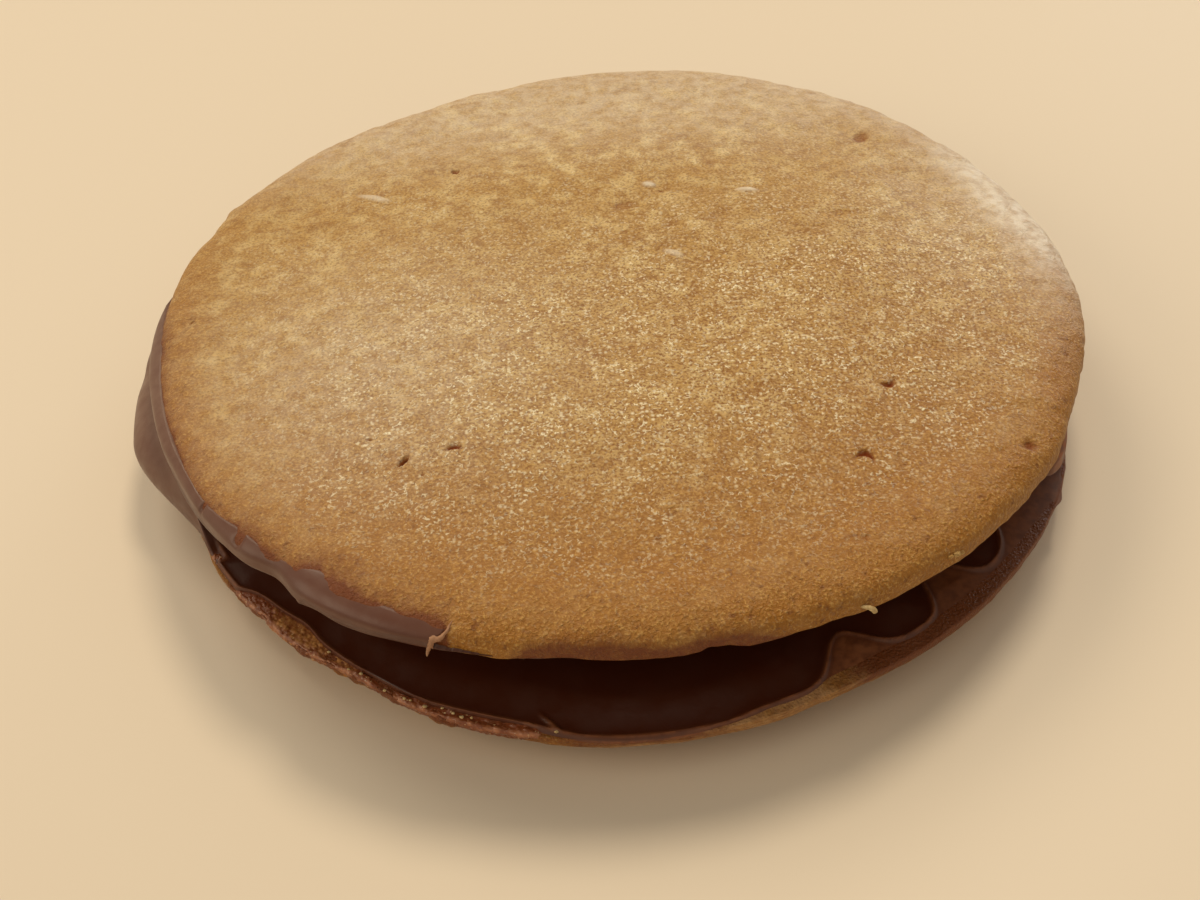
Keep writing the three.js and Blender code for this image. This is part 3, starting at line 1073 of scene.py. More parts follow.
@dataclass(frozen=True)
class RidgeLine:
    """The thin raised line that runs round the lower coat a little inside its edge."""

    # Its radius.
    course: Stations = Stations(
        (208.0, 212.5, 215.0, 220.0, 224.0, 227.0, 233.0, 237.5, 242.0, 256.0, 264.0, 269.0, 276.0,
         282.0, 291.0, 300.0, 316.0, 328.0),
        (34.0, 33.7, 32.9, 32.4, 32.15, 32.5, 32.8, 33.25, 33.2, 33.3, 34.0, 34.15, 33.75,
         33.15, 33.1, 32.7, 32.7, 33.0),
    )
    # Where it runs inward round a lobe, and how those places lean.
    lobes: tuple[Lobe, ...] = (
        Lobe(293.8, 3.9, -3.1),
        Lobe(310.0, 2.9, -4.3),
        Lobe(325.5, 4.6, -4.5, 1.5),
    )
    start: float = 196.0  # First bearing.
    end: float = 347.0  # Last bearing.
    step: float = 0.3  # Degrees between its points.
    margin: float = 0.33  # How far it stays inside the biscuit's edge.

    def path(self) -> tuple[Array, Array]:
        """The line as radii and bearings.

        Formula: the course, kept just inside the biscuit's edge, plus the lobes, and each
        bearing shifted by the lobes' leans times the same bells.

        Returns:
            Radii and bearings, a point each.
        """
        bearing = np.arange(self.start, self.end, self.step)
        lean = sum(lobe.lean * bell(bearing, lobe.bearing, lobe.spread) for lobe in self.lobes)
        course = np.minimum(self.course.at(bearing), LOWER_OUTLINE.at(bearing) - self.margin)
        return course + lobes_at(self.lobes, bearing), bearing + lean

    def signed(self, radius: Array, bearing: Array, near: Array) -> Array:
        """Distance from the line, positive outside it.

        Formula: the least distance to the line's pieces, less than 0 where the line crosses the
        bearing farther out an odd number of times.

        Args:
            radius: Radii of the places.
            bearing: Their bearings.
            near: True where a place is near enough to be measured.

        Returns:
            Signed distances, far inside where nothing is measured.
        """
        signed = np.full_like(radius, -FAR)
        radius, bearing = radius[near], bearing[near]
        line_radius, line_bearing = self.path()
        line_x, line_y = polar(line_radius, line_bearing)
        x, y = polar(radius, bearing)
        least = np.full_like(radius, np.inf)
        crossings = np.zeros_like(radius)
        for i in range(len(line_radius) - 1):
            away, _ = from_piece(x, y, (line_x[i], line_y[i]), (line_x[i + 1], line_y[i + 1]))
            least = np.minimum(least, away)
            low, high = sorted((line_bearing[i], line_bearing[i + 1]))
            crossings += (bearing >= low) & (bearing < high) & (line_radius[i] > radius)
        signed[near] = np.where(crossings % 2 == 1, -least, least)
        return signed


def from_piece(
    x: Array, y: Array, start: tuple[float, float], end: tuple[float, float]
) -> tuple[Array, Array]:
    """Distance from a straight piece, and where along it the nearest point is.

    Args:
        x: Places.
        y: The same, to the back.
        start: Where the piece begins.
        end: Where it ends.

    Returns:
        The distances, and shares from 0 at the start to 1 at the end.
    """
    run_x, run_y = end[0] - start[0], end[1] - start[1]
    share = ((x - start[0]) * run_x + (y - start[1]) * run_y) / (run_x**2 + run_y**2)
    share = np.clip(share, 0.0, 1.0)
    return np.hypot(x - start[0] - share * run_x, y - start[1] - share * run_y), share


@dataclass(frozen=True)
class LowerCoat:
    """The chocolate on the lower biscuit: a pool, a raised line near its edge, and a lump."""

    pool: float = 0.6  # Height of the pool over the flat face.
    # Its height near the raised line.
    shore: Stations = Stations(
        (208.0, 250.0, 256.0, 262.0, 276.0, 284.0, 300.0, 326.0),
        (0.22, 0.22, 0.18, 0.05, 0.06, 0.1, 0.14, 0.22),
    )
    # Distances from the raised line between which the pool falls to the shore.
    beach: tuple[float, float] = (-3.0, -0.2)
    # Height and width of each bell that the raised line is made of.
    crests: tuple[tuple[float, float], ...] = ((0.16, 0.09), (0.02, 0.3))
    ridge: RidgeLine = RidgeLine()
    # Height at the very edge.
    thin: Stations = Stations((254.0, 278.0, 326.0, 334.0), (0.06, -0.04, -0.04, 0.06))
    thin_width: float = 0.3  # Width of that edge.
    slope: float = 2.2  # Width of the slope that falls to it.
    lump: float = 3.1  # How far the lump at the left stands out.
    lump_rise: tuple[float, float] = (162.0, 171.0)  # Bearings between which the lump rises, from behind.
    lump_fall: tuple[float, float] = (187.0, 205.0)  # Bearings between which it falls.
    lump_dent: Lobe = Lobe(176.5, 2.5, -0.06)  # A dent in it, in parts of its size.
    back_reach: float = 0.12  # How far the coat stands out elsewhere, where joined.
    lean: float = 0.3  # How far the upper surface's edge leans out, in parts of the reach.
    nib: Lobe = Lobe(329.3, 1.2, 0.22)  # A small point at the right end of the mouth.
    # How far inside the biscuit's edge the coat ends.
    edge_inset: Stations = Stations(
        (200.0, 208.0, 255.0, 261.0, 273.0, 281.0, 320.0, 327.0, 331.0, 335.0, 344.0, 351.0),
        (0.05, 0.12, 0.3, 0.0, 0.02, 0.35, 0.35, 0.1, 0.1, 0.4, 0.4, 0.05),
    )
    sunk: float = 0.12  # Depth of its wall's foot in the biscuit.
    inner_radius: float = 24.0  # Radius from which the underside falls to that foot.
    under: float = 0.1  # Depth of the underside's middle.
    # Radius and bearing where a short thin ridge begins inside the raised line.
    whisker_start: tuple[float, float] = (32.2, 255.6)
    whisker_end: tuple[float, float] = (33.5, 258.6)  # Radius and bearing where it ends.
    whisker_height: float = 0.17
    whisker_width: float = 0.12
    ridge_radius: float = 26.0  # Radius outside which the raised line is measured.
    ridge_start: float = 190.0  # First bearing at which it is measured.
    ridge_end: float = 350.0  # Last bearing at which it is measured.
    # Bearings at which the rim outside the raised line is bare and crumbling.
    crumbly: Span = Span(211.5, 256.0, 5.0)
    # Bearings at which the coat outside the raised line is thin and dull.
    film: Span = Span(262.0, 334.0, 6.0)
    fade: tuple[float, float] = (294.0, 304.0)  # Bearings between which that grows weaker.
    bloom_and_sheen: Lobe = Lobe(184.0, 13.0, 0.9)  # Where the coat is bloomed and paler with painted sheen.

    SWELLS = ((0.07, 0.0, 4.0, 2), (0.03, 30.0, 1.4, 1))
    BULGE_START = 25.0
    BULGE_TURN = 137.0
    WALL = np.linspace(0.0, 1.0, 15)
    TOP_INSETS = np.concatenate(
        [np.arange(0.06, 5.6, 0.14), [6.2, 7.2, 8.6, 10.5, 13.0, 17.0, 22.0, 28.0]]
    )

    def edge(self, bearing: Array) -> Array:
        """Outer radius of the foot: just inside the biscuit's edge or outside the raised line.

        Args:
            bearing: Bearings.

        Returns:
            The radius at each.
        """
        whole = LOWER_OUTLINE.at(bearing) - self.edge_inset.at(bearing)
        near_line = np.minimum(whole, self.ridge.course.at(bearing) + 0.1)
        return blend(whole, near_line, self.crumbly.at(bearing))

    def reach(self, bearing: Array) -> Array:
        """How far the wall bulges out: the lump's two smooth steps, or the small back reach.

        Args:
            bearing: Bearings.

        Returns:
            The reach at each.
        """
        lump = self.lump * ramp(bearing, *self.lump_rise) * (1.0 - ramp(bearing, *self.lump_fall))
        lump = lump * (1.0 + self.lump_dent.at(bearing))
        reach = np.maximum(lump, self.back_reach) + self.nib.at(bearing)
        return reach * (1.0 - JOIN.mouth.at(bearing))

    def whisker(self, x: Array, y: Array) -> Array:
        """1 on the short thin ridge: a bell of the distance from its line, rising along it."""
        away, share = from_piece(x, y, polar(*self.whisker_start), polar(*self.whisker_end))
        return hump(away, self.whisker_width) * ramp(share, 0.0, 0.5)

    def height(self, radius: Array, bearing: Array, signed: Array) -> Array:
        """Height of the coat's upper surface over the flat face.

        Formula: inside the raised line the pool, falling to the shore; outside it a slope to the
        thin edge; on it two bells; where the coats are joined, the seam's height.

        Args:
            radius: Radii.
            bearing: Bearings.
            signed: Distances from the raised line.

        Returns:
            The height.
        """
        x, y = polar(radius, bearing)
        flat = spot(radius, bearing, 0.0)
        shore = self.shore.at(bearing)
        to_edge = LOWER_OUTLINE.at(bearing) - self.thin_width - radius
        to_edge = portion(to_edge, 0.0, self.slope)
        outside = blend(np.minimum(self.thin.at(bearing), shore), shore, to_edge)
        inside = blend(self.pool, shore, ramp(signed, *self.beach))
        ridge = sum(size * hump(signed, width) for size, width in self.crests)
        ridge = ridge + self.whisker_height * self.whisker(x, y)
        surface = blend(inside, outside, ramp(signed, 0.0, 0.2)) + ridge * JOIN.mouth.at(bearing)
        uneven = sum(
            size * CHOCOLATE_CHANCE.clouds(flat + away, cell, octaves)
            for size, away, cell, octaves in self.SWELLS
        )
        surface = surface + uneven * ramp(self.pool - surface, 0.2, -0.1)
        shut = JOIN.seam(bearing, x, y) + JOIN.overlap
        return blend(surface, np.maximum(surface, shut), JOIN.joined(bearing, radius, x, y))

    def build(self, material: Material) -> bpy.types.Object:
        """Builds the piece.

        Formula: each section runs out along the flat face, up the wall, which bulges by a sine of
        its height, and back in along the upper surface.

        Args:
            material: The chocolate's finish.

        Returns:
            The object.
        """
        bearing = coat_bearings()
        column = bearing[:, None] % 360.0
        foot, reach = self.edge(column), self.reach(column)
        leaning = self.lean * reach * (1.0 - ramp(self.TOP_INSETS, 0.0, 3.0))
        top_radius = np.maximum(foot + leaning - self.TOP_INSETS, 0.5)
        wide = np.broadcast_to(column, top_radius.shape)
        outer = top_radius > self.ridge_radius
        near = outer & (wide > self.ridge_start) & (wide < self.ridge_end)
        signed = self.ridge.signed(top_radius, wide, near)
        top = self.height(top_radius, wide, signed)
        wall_top = top[:, :1] - 0.04
        wall_foot = np.minimum(-self.sunk, wall_top - 0.08)
        bulge = np.sin(np.radians(self.BULGE_START + self.BULGE_TURN * self.WALL))
        bulge = bulge * ramp(self.WALL, -0.1, 0.12)
        wall_radius = foot + reach * bulge - 0.05 * ramp(self.WALL, 0.6, 1.0)
        ones = np.ones_like(foot)
        below = (0.0 * ones, self.inner_radius * ones, foot - 0.5)
        radius = np.hstack([*below, wall_radius, top_radius, 0.0 * ones])
        wall = blend(wall_foot, wall_top, self.WALL)
        below = (-self.under * ones, -self.under * ones, wall_foot)
        height = np.hstack([*below, wall, top, 0.0 * ones])
        height[:, -1] = top[:, -1].mean()
        upper = slice(radius.shape[1] - top.shape[1] - 1, -1)
        # Painted shade: the pool inside the raised line and the middle take the chocolate's shaded
        # colour, where the upper biscuit shades them.
        shade = np.zeros_like(radius)
        shade[:, upper] = np.where(near | ~outer, ramp(signed, -0.02, -0.4), 0.0)
        shade[:, -1] = 1.0
        film = self.film.at(column) * (1.0 - 0.4 * ramp(column, *self.fade))
        # Painted highlight: the raised line and the whisker take the paler rubbed colour along their
        # tops; outside the line the film is rubbed thin.
        ridge = hump(signed, 0.11) * JOIN.mouth.at(wide)
        ridge = np.maximum(ridge, 0.8 * self.whisker(*polar(top_radius, wide)))
        rubbed = film * np.ones_like(radius)
        rubbed[:, upper] = np.maximum(film * ramp(signed, 0.0, 0.7), ridge)
        rubbed[:, -1] = 0.0
        # Bloom and painted sheen on the lump.
        bloom_and_sheen = self.bloom_and_sheen.at(column) * np.ones_like(radius)
        paint = {"shade": shade, "bloom_and_sheen": bloom_and_sheen, "rubbed": rubbed}
        return build_coat(Half.LOWER, bearing, radius, height, paint, material)


@dataclass(frozen=True)
class UpperCoat:
    """The chocolate under the upper biscuit, which wraps round its edge at the left."""

    depth: float = 0.6  # Thickness inside the mouth.
    least_depth: float = 0.08  # Least thickness anywhere.
    # Depth of the outer edge under the flat face.
    lip: Stations = Stations(
        (204.0, 211.0, 215.0, 218.0, 221.0, 225.0, 228.0, 229.7, 232.0, 235.0, 238.0, 242.0, 246.0,
         249.0, 252.0, 255.0, 259.0, 271.0, 275.0, 320.0, 324.0, 326.5, 331.0),
        (1.8, 1.2, 0.75, 0.35, 0.12, 0.1, 0.25, 0.8, 0.75, 0.95, 0.85, 0.6, 0.55,
         0.42, 0.32, 0.2, 0.1, 0.12, 0.1, 0.15, 0.8, 1.45, 1.8),
    )
    # How far the wall stands out from the biscuit's edge.
    stand: Stations = Stations(
        (160.0, 168.0, 175.0, 183.0, 191.0, 199.0, 204.0, 212.0, 221.0, 226.0, 230.0, 235.0, 246.0,
         250.0, 256.0, 280.0, 322.0, 325.5, 329.0, 331.5, 334.0, 344.0, 351.0),
        (0.0, 0.15, 0.42, 0.5, 0.42, 0.36, 0.2, 0.16, 0.1, 0.02, 0.24, 0.36, 0.36,
         0.2, 0.04, 0.03, 0.0, 0.22, 0.24, 0.04, -0.15, -0.22, 0.0),
    )
    # Height over the flat face to which the shell climbs the rim.
    climbs: Stations = Stations(
        (163.0, 168.0, 176.0, 182.0, 188.0, 200.0, 207.0, 212.0, 216.5, 219.0, 221.7, 225.0, 227.5,
         231.0, 233.5, 236.0, 241.0, 246.0, 250.0, 256.0, 258.5),
        (0.2, 0.7, 1.5, 1.75, 1.7, 1.65, 1.65, 1.6, 1.8, 1.92, 1.86, 1.65, 1.85, 2.18, 2.18, 2.05, 1.92,
         1.86, 1.8, 1.75, 0.2),
    )
    # Height of the crease between the shell and the lip's lower face, which slants in.
    crease: Stations = Stations(
        (229.0, 230.5, 232.0, 234.5, 237.0, 239.5, 241.0, 242.6, 246.0, 247.2, 249.5, 252.0, 256.0),
        (-0.6, 0.6, 0.95, 0.7, 0.63, 0.66, 0.78, 0.95, 0.85, 0.5, 0.45, 0.3, 0.05),
    )
    undercut: float = 0.42  # How far that lower face slants in.
    shell_start: float = 166.0  # Bearing at which the shell round the rim begins.
    shell_end: float = 248.5  # Bearing at which it has broken off, at the rim's top.
    shell_top: float = 1.95  # Height of the rim's top there.
    shell_slant: float = 1.7  # Degrees by which it ends earlier for each millimetre further down.
    jaggedness: float = 0.22  # Degrees by which its end is jagged.
    # Height to which a thin film climbs the rim at the front.
    film: Stations = Stations(
        (254.5, 257.0, 260.5, 265.0, 269.0, 272.0, 276.5, 280.5, 283.5),
        (0.5, 1.4, 1.7, 1.7, 1.45, 1.15, 1.5, 1.25, 0.5),
    )
    film_span: Span = Span(255.0, 285.0, 4.0)  # Bearings at which the painted film lies.
    bare: float = 1.3  # How far in the coat begins where the biscuit's edge is bare.
    bared: Span = Span(282.5, 323.5, 3.0)  # Bearings at which it is bare.
    undercut_span: Span = Span(229.5, 256.5, 3.0)  # Bearings at which the lip's lower face slants in.
    rubbed: Span = Span(325.0, 337.0, 3.0)  # Bearings at which the coat is rubbed dull.
    bloom_and_sheen: Lobe = Lobe(188.0, 26.0, 0.85)  # Where the shell is bloomed and paler with painted sheen.
    sunk: float = 0.22  # How deep it lies in the biscuit where the shell is missing.
    tuck: float = 0.12  # How far its underside's edge lies inside its wall.
    inset: float = 2.2  # How far in its hidden inner face begins.
    # Bearing, width, height and depth of each chip in the shell.
    chips: tuple[tuple[float, float, float, float], ...] = (
        (212.0, 0.28, 1.5, 0.42), (219.7, 0.5, 1.55, 0.28)
    )
    band_start: float = 244.0  # Bearing at which the band under the crease begins.
    band_end: float = 256.5  # Bearing at which it ends.

    UNDER_INSETS = np.concatenate(
        [[28.0, 22.0, 17.0, 13.0, 10.0, 8.0, 6.5, 5.4], np.arange(4.6, 0.5, -0.3)]
    )
    BELOW = np.linspace(0.0, 1.0, 20)
    ABOVE = np.linspace(0.0, 1.0, 26)[1:]
    NOSE = 0.5
    RIM_STEPS = 200

    def climb(self, bearing: Array) -> Array:
        """Height over the flat face to which the coat's shell climbs, at least a little."""
        return np.maximum(self.climbs.at(bearing), 0.02)

    def present(self, bearing: Array, height: Array, jag: Array) -> Array:
        """1 where the shell lies on the rim, 0 where it is missing.

        Formula: the shell ends at a slanting, jagged line, less chips, which are bells of bearing
        and height; the band under the crease runs on farther.

        Args:
            bearing: Bearings.
            height: Heights over the flat face.
            jag: Random swells from -1 to 1 at the same places.

        Returns:
            A share from 0 to 1.
        """
        down = np.clip(self.shell_top - height, 0.0, 1.0)
        end = self.shell_end - self.shell_slant * down + self.jaggedness * jag
        shell = ramp(bearing, self.shell_start, self.shell_start + 2.0) * (bearing < end)
        chips = sum(
            bell(bearing, middle, width) * hump(height - level, depth)
            for middle, width, level, depth in self.chips
        )
        low = height < self.crease.at(bearing) + 0.06 * jag
        band = low & (bearing > self.band_start) & (bearing < self.band_end)
        return np.maximum(shell * (1.0 - np.clip(1.3 * chips, 0.0, 1.0)), band)

    def bottom(self, radius: Array, bearing: Array) -> Array:
        """Depth of the coat's underside below the flat face.

        Formula: the even depth, changing into the lip's towards the mouth; where the coats are
        joined, the distance down to the seam.

        Args:
            radius: Radii.
            bearing: Bearings.

        Returns:
            The depths.
        """
        flat = spot(radius, bearing, 0.0) + np.array([STACK.shift_x, STACK.shift_y, 0.0])
        x, y = flat[..., 0], flat[..., 1]
        near = ramp(radius, UPPER_OUTLINE.radius - 3.2, UPPER_OUTLINE.radius - 0.5)
        open_depth = blend(self.depth, self.lip.at(bearing), near * (1.0 - self.bared.at(bearing)))
        swell = 0.05 * CHOCOLATE_CHANCE.clouds(flat + 70.0, 3.0, 2)
        open_depth = np.maximum(open_depth + swell * (1.0 - near), self.least_depth)
        shut = STACK.gap_at(x, y) - JOIN.seam(bearing, x, y) + JOIN.overlap
        share = JOIN.joined(bearing, radius, x, y)
        return blend(open_depth, np.maximum(open_depth, shut), share)

    def on_rim(self, bearing: Array, height: Array) -> Array:
        """Radius of the biscuit's rim at a height over the flat face.

        Formula: the mean rim's radius at that height, moved out or in as the edge is.

        Args:
            bearing: Bearings.
            height: Heights over the flat face.

        Returns:
            The radii.
        """
        turned = np.sin(np.linspace(math.pi / 2.0, 0.0, self.RIM_STEPS))
        radius = UPPER_OUTLINE.radius - UPPER_FORM.rim_width * (1.0 - turned)
        mean = np.interp(height, UPPER_FORM.height(radius, UPPER_OUTLINE.radius), radius)
        return UPPER_OUTLINE.at(bearing) - UPPER_OUTLINE.radius + mean

    def build(self, material: Material) -> bpy.types.Object:
        """Builds the piece.

        Formula: each section runs out along the underside, rounds the lip by a quarter ellipse,
        climbs the rim, where the shell thins out on the crust, and returns inside the biscuit.

        Args:
            material: The chocolate's finish.

        Returns:
            The object.
        """
        bearing = coat_bearings()
        column = (bearing % 360.0)[:, None]
        edge, climb = UPPER_OUTLINE.at(column), self.climb(column)
        stand, bared = self.stand.at(column), self.bared.at(column)
        out = edge + blend(stand - self.tuck, -self.bare, bared)
        out = out - lobes_at(UPPER_FORM.worn, column)
        under_radius = out - self.UNDER_INSETS
        under = -self.bottom(under_radius, np.broadcast_to(column, under_radius.shape))
        low = -self.bottom(out - self.NOSE, column)
        wall_z = np.hstack([low * (1.0 - self.BELOW), climb * self.ABOVE])
        jag = CHOCOLATE_CHANCE.clouds(spot(UPPER_OUTLINE.radius, column, wall_z), 0.4, 2)
        present = self.present(column, wall_z, jag)
        folded = self.crease.at(column)
        slant = portion(folded - wall_z, 0.0, np.maximum(folded - low, 0.1))
        slant = slant * self.undercut * self.undercut_span.at(column)
        rise = portion(wall_z - low, 0.0, np.minimum(self.NOSE, -0.9 * low))
        nose = np.sqrt(1.0 - (1.0 - rise) ** 2)
        below_radius = out - self.NOSE * (1.0 - nose) - slant
        crest = portion(wall_z - 1.0, 0.0, np.maximum(climb - 1.0, 0.05))
        shell = stand * (1.0 - crest**2) + 0.05 * (1.0 - crest) + 0.01
        over = blend(-self.sunk, shell, present) - slant * present
        on_rim = self.on_rim(column, wall_z)
        wall_radius = blend(below_radius, on_rim + over, ramp(wall_z, -0.15, 0.35) * (1.0 - bared))
        ones = np.ones_like(edge)
        inside = (on_rim[:, -1:] - 0.35, edge - self.inset, 0.0 * ones)
        radius = np.hstack([0.0 * ones, under_radius, wall_radius, *inside])
        inside = (np.maximum(climb - 0.2, 0.06), np.minimum(climb - 0.02, 0.12), 0.1 * ones)
        height = np.hstack([0.0 * ones, under, wall_z, *inside])
        height[:, 0] = under[:, 0].mean()
        wall = slice(1 + len(self.UNDER_INSETS), -len(inside))
        upright = ramp(wall_z - folded, -0.05, 0.1)
        shade, bloom_and_sheen = np.zeros_like(radius), np.zeros_like(radius)
        # Painted shade on the underside, and in part on the lip's lower face under the crease.
        shade[:, :wall.start] = 1.0
        shade[:, wall] = 0.35 * (1.0 - upright)
        # Bloom and painted sheen on the face above the crease, which faces the light.
        bloom_and_sheen[:, wall] = upright * (0.15 + self.bloom_and_sheen.at(column))
        rubbed = self.rubbed.at(column) * np.ones_like(radius)
        paint = {"shade": shade * (1.0 - 0.8 * rubbed), "bloom_and_sheen": bloom_and_sheen, "rubbed": rubbed}
        return build_coat(Half.UPPER, bearing, radius, height, paint, material)


LOWER_COAT = LowerCoat()
UPPER_COAT = UpperCoat()


@dataclass(frozen=True)
class CrumblyRim:
    """The rough strip outside the raised line, where the lower rim has crumbled and is smeared."""

    start: float = 203.5  # Bearing at which it begins.
    end: float = 259.0  # Bearing at which it ends.
    step: float = 0.15  # Degrees between its sections.
    corner: float = 0.28  # Rounding of its edge.
    drop: float = 0.75  # How far down the side it runs.
    lump_size: float = 0.34  # Size of its lumps.
    grain_size: float = 0.2  # Size of its fine grains.
    taper: float = 2.5  # Degrees over which its ends shrink.
    # Share of chocolate smeared over it.
    smear: Stations = Stations(
        (207.0, 212.0, 218.0, 222.0, 230.0, 237.0, 258.0), (0.9, 0.85, 0.6, 0.3, 0.35, 0.75, 0.8)
    )
    chance: Chance = Chance(23)  # Its crumbs.

    OUTER = np.linspace(0.0, 1.0, 40)
    INNER = np.linspace(0.0, 1.0, 8)[1:-1]

    def build(self, material: Material) -> bpy.types.Object:
        """Builds the piece.

        Formula: each section runs over the flat face, round the edge, down the side and back
        inside; swells and rounded grains push it outward, and both ends shrink into the biscuit.

        Args:
            material: The crumbled rim's finish.

        Returns:
            The object.
        """
        bearing = np.arange(self.start, self.end, self.step)[:, None]
        out = LOWER_OUTLINE.at(bearing) + 0.02
        inner = np.minimum(LOWER_COAT.ridge.course.at(bearing) - 0.05, out - 0.5)
        top = portion(self.OUTER, 0.0, 0.5)
        quarter = portion(self.OUTER - 0.5, 0.0, 0.2) * math.pi / 2.0
        down = portion(self.OUTER - 0.7, 0.0, 0.3)
        radius = blend(inner, out - self.corner, top) + self.corner * np.sin(quarter) - 0.2 * down
        height = 0.1 - self.corner * (1.0 - np.cos(quarter)) - self.drop * down
        places = spot(radius, bearing, height)
        away, own = self.chance.grains(places, self.lump_size)
        lumps = np.clip(1.0 - away / 0.85, 0.0, 1.0) * (0.3 + 0.7 * own)
        away, _ = self.chance.grains(places + FAR, self.grain_size)
        push = 0.15 * lumps + 0.05 * np.clip(1.0 - away / 0.7, 0.0, 1.0) - 0.08
        push = push + 0.18 * self.chance.clouds(places, 1.5, 3)
        hold = ramp(self.OUTER, 0.0, 0.06) * (1.0 - ramp(self.OUTER, 0.9, 1.0))
        push = push * hold - 0.12 * (1.0 - hold)
        radius = radius + push * np.sin(quarter)
        height = height + push * np.cos(quarter)
        radius = np.hstack([radius, blend(radius[:, -1:] - 0.3, inner + 0.1, self.INNER)])
        height = np.hstack([height, blend(height[:, -1:], -0.5, self.INNER)])
        to_end = np.minimum(bearing - self.start, self.end - bearing) / self.taper
        size = np.sqrt(np.clip(to_end, 0.02, 1.0))
        radius, height = blend(out - 0.6, radius, size), blend(-0.55, height, size)
        sections = STACK.place(spot(radius, bearing, height), Half.LOWER)
        hollow, border = np.zeros_like(radius), np.zeros_like(radius)
        outer = slice(len(self.OUTER))
        # Painted shade: the hollows between the lumps are darkened.
        hollow[:, outer] = 0.6 - lumps
        border[:, outer] = hump(self.OUTER - 0.6, 0.12)
        smear = self.smear.at(bearing) + 0.35 * border + 0.15 * hollow
        smear = np.clip(smear + 0.45 * self.chance.clouds(sections + 5.0, 0.9, 3), 0.0, 1.0)
        skin = Skin("crumbly_rim")
        add_tube(skin, sections, {"smear": smear, "hollow": hollow, "border": border})
        return skin.build(material, "biscuit")


@dataclass(frozen=True)
class Thorn:
    """A thin ragged strip along the upper rim, such as a broken border or a hanging point."""

    bearings: tuple[float, ...]  # Bearings that it passes.
    heights: tuple[float, ...]  # Heights over the upper flat face there.
    stands: tuple[float, ...]  # How far it stands out from the rim there.
    sizes: tuple[float, ...]  # Half its thickness there.
    rough: float = 0.35  # How uneven it is, in parts of its thickness.

    STEPS = 60
    AROUND = 10
    SMEAR = 0.2

    def add(self, skin: Skin, chance: Chance) -> None:
        """Adds it to a piece.

        Formula: a round tube along its path, whose radius changes along it and with swells.

        Args:
            skin: The piece that it is added to.
            chance: Its unevenness.
        """
        stops = np.arange(len(self.bearings))
        along = np.linspace(0.0, stops[-1], self.STEPS)
        bearing, height, stand, size = (
            np.interp(along, stops, sizes)
            for sizes in (self.bearings, self.heights, self.stands, self.sizes)
        )
        path = spot(UPPER_COAT.on_rim(bearing, height) + stand, bearing, height)
        forward = np.gradient(path, axis=0)
        forward /= np.linalg.norm(forward, axis=1)[:, None]
        side = np.cross(forward, path * np.array([1.0, 1.0, 0.0]))
        side /= np.linalg.norm(side, axis=1)[:, None]
        other = np.cross(forward, side)
        angle = np.linspace(0.0, 2.0 * math.pi, self.AROUND, endpoint=False)[:, None]
        ring = side[:, None] * np.cos(angle) + other[:, None] * np.sin(angle)
        swell = 1.0 + self.rough * chance.clouds(path[:, None] + 0.2 * ring, 0.2, 3)
        body = path[:, None] + ring * (size[:, None] * swell)[..., None]
        add_tube(skin, STACK.place(body, Half.UPPER), {"smear": np.full(swell.shape, self.SMEAR)})


@dataclass(frozen=True)
class Fringe:
    """Ragged strips that make up one piece on the upper rim."""

    name: str
    slot: str  # Handed on to the piece's build with its finish.
    chance: Chance  # Its unevenness.
    thorns: tuple[Thorn, ...]

    def build(self, material: Material) -> bpy.types.Object:
        """Builds the piece from its strips, in order.

        Args:
            material: Its finish.

        Returns:
            The object.
        """
        skin = Skin(self.name)
        for thorn in self.thorns:
            thorn.add(skin, self.chance)
        return skin.build(material, self.slot)


# The pale ragged border where the upper coat's shell has broken off, its hanging point, and a
# barb beside that.
BROKEN_END = Fringe("broken_end", "chocolate", Chance(41), (
    Thorn(
        (248.6, 248.4, 248.3, 247.9, 247.5, 247.1, 246.8, 246.5),
        (2.0, 1.85, 1.65, 1.4, 1.22, 1.16, 1.05, 0.95),
        (0.02, 0.1, 0.16, 0.2, 0.22, 0.25, 0.28, 0.28),
        (0.03, 0.07, 0.1, 0.14, 0.19, 0.24, 0.24, 0.13),
        0.6,
    ),
    Thorn(
        (246.9, 246.7, 246.5, 246.25, 246.1, 246.0),
        (1.1, 0.85, 0.5, 0.1, -0.25, -0.5),
        (0.3, 0.34, 0.36, 0.36, 0.36, 0.36),
        (0.1, 0.19, 0.15, 0.13, 0.08, 0.015),
    ),
    Thorn(
        (246.9, 246.85, 246.8, 246.85),
        (1.0, 0.8, 0.6, 0.4),
        (0.3, 0.36, 0.38, 0.4),
        (0.08, 0.11, 0.08, 0.02),
    ),
))
# The pale curled crumb that hangs at the upper biscuit's edge.
CURLED_CRUMB = Fringe("curled_crumb", "biscuit", Chance(43), (
    Thorn(
        (292.4, 292.75, 293.15, 293.5, 293.7, 293.75),
        (0.5, 0.62, 0.6, 0.42, 0.2, 0.05),
        (-0.1, 0.2, 0.4, 0.5, 0.5, 0.45),
        (0.08, 0.12, 0.15, 0.17, 0.17, 0.08),
        0.3,
    ),
))


@dataclass(frozen=True)
class Crumb:
    """A loose crumb that lies on a rim."""

    radius: float  # Its distance from the middle of the half that it lies on.
    bearing: float
    height: float  # Height of its middle over that half's flat face.
    size: float  # Half its length.


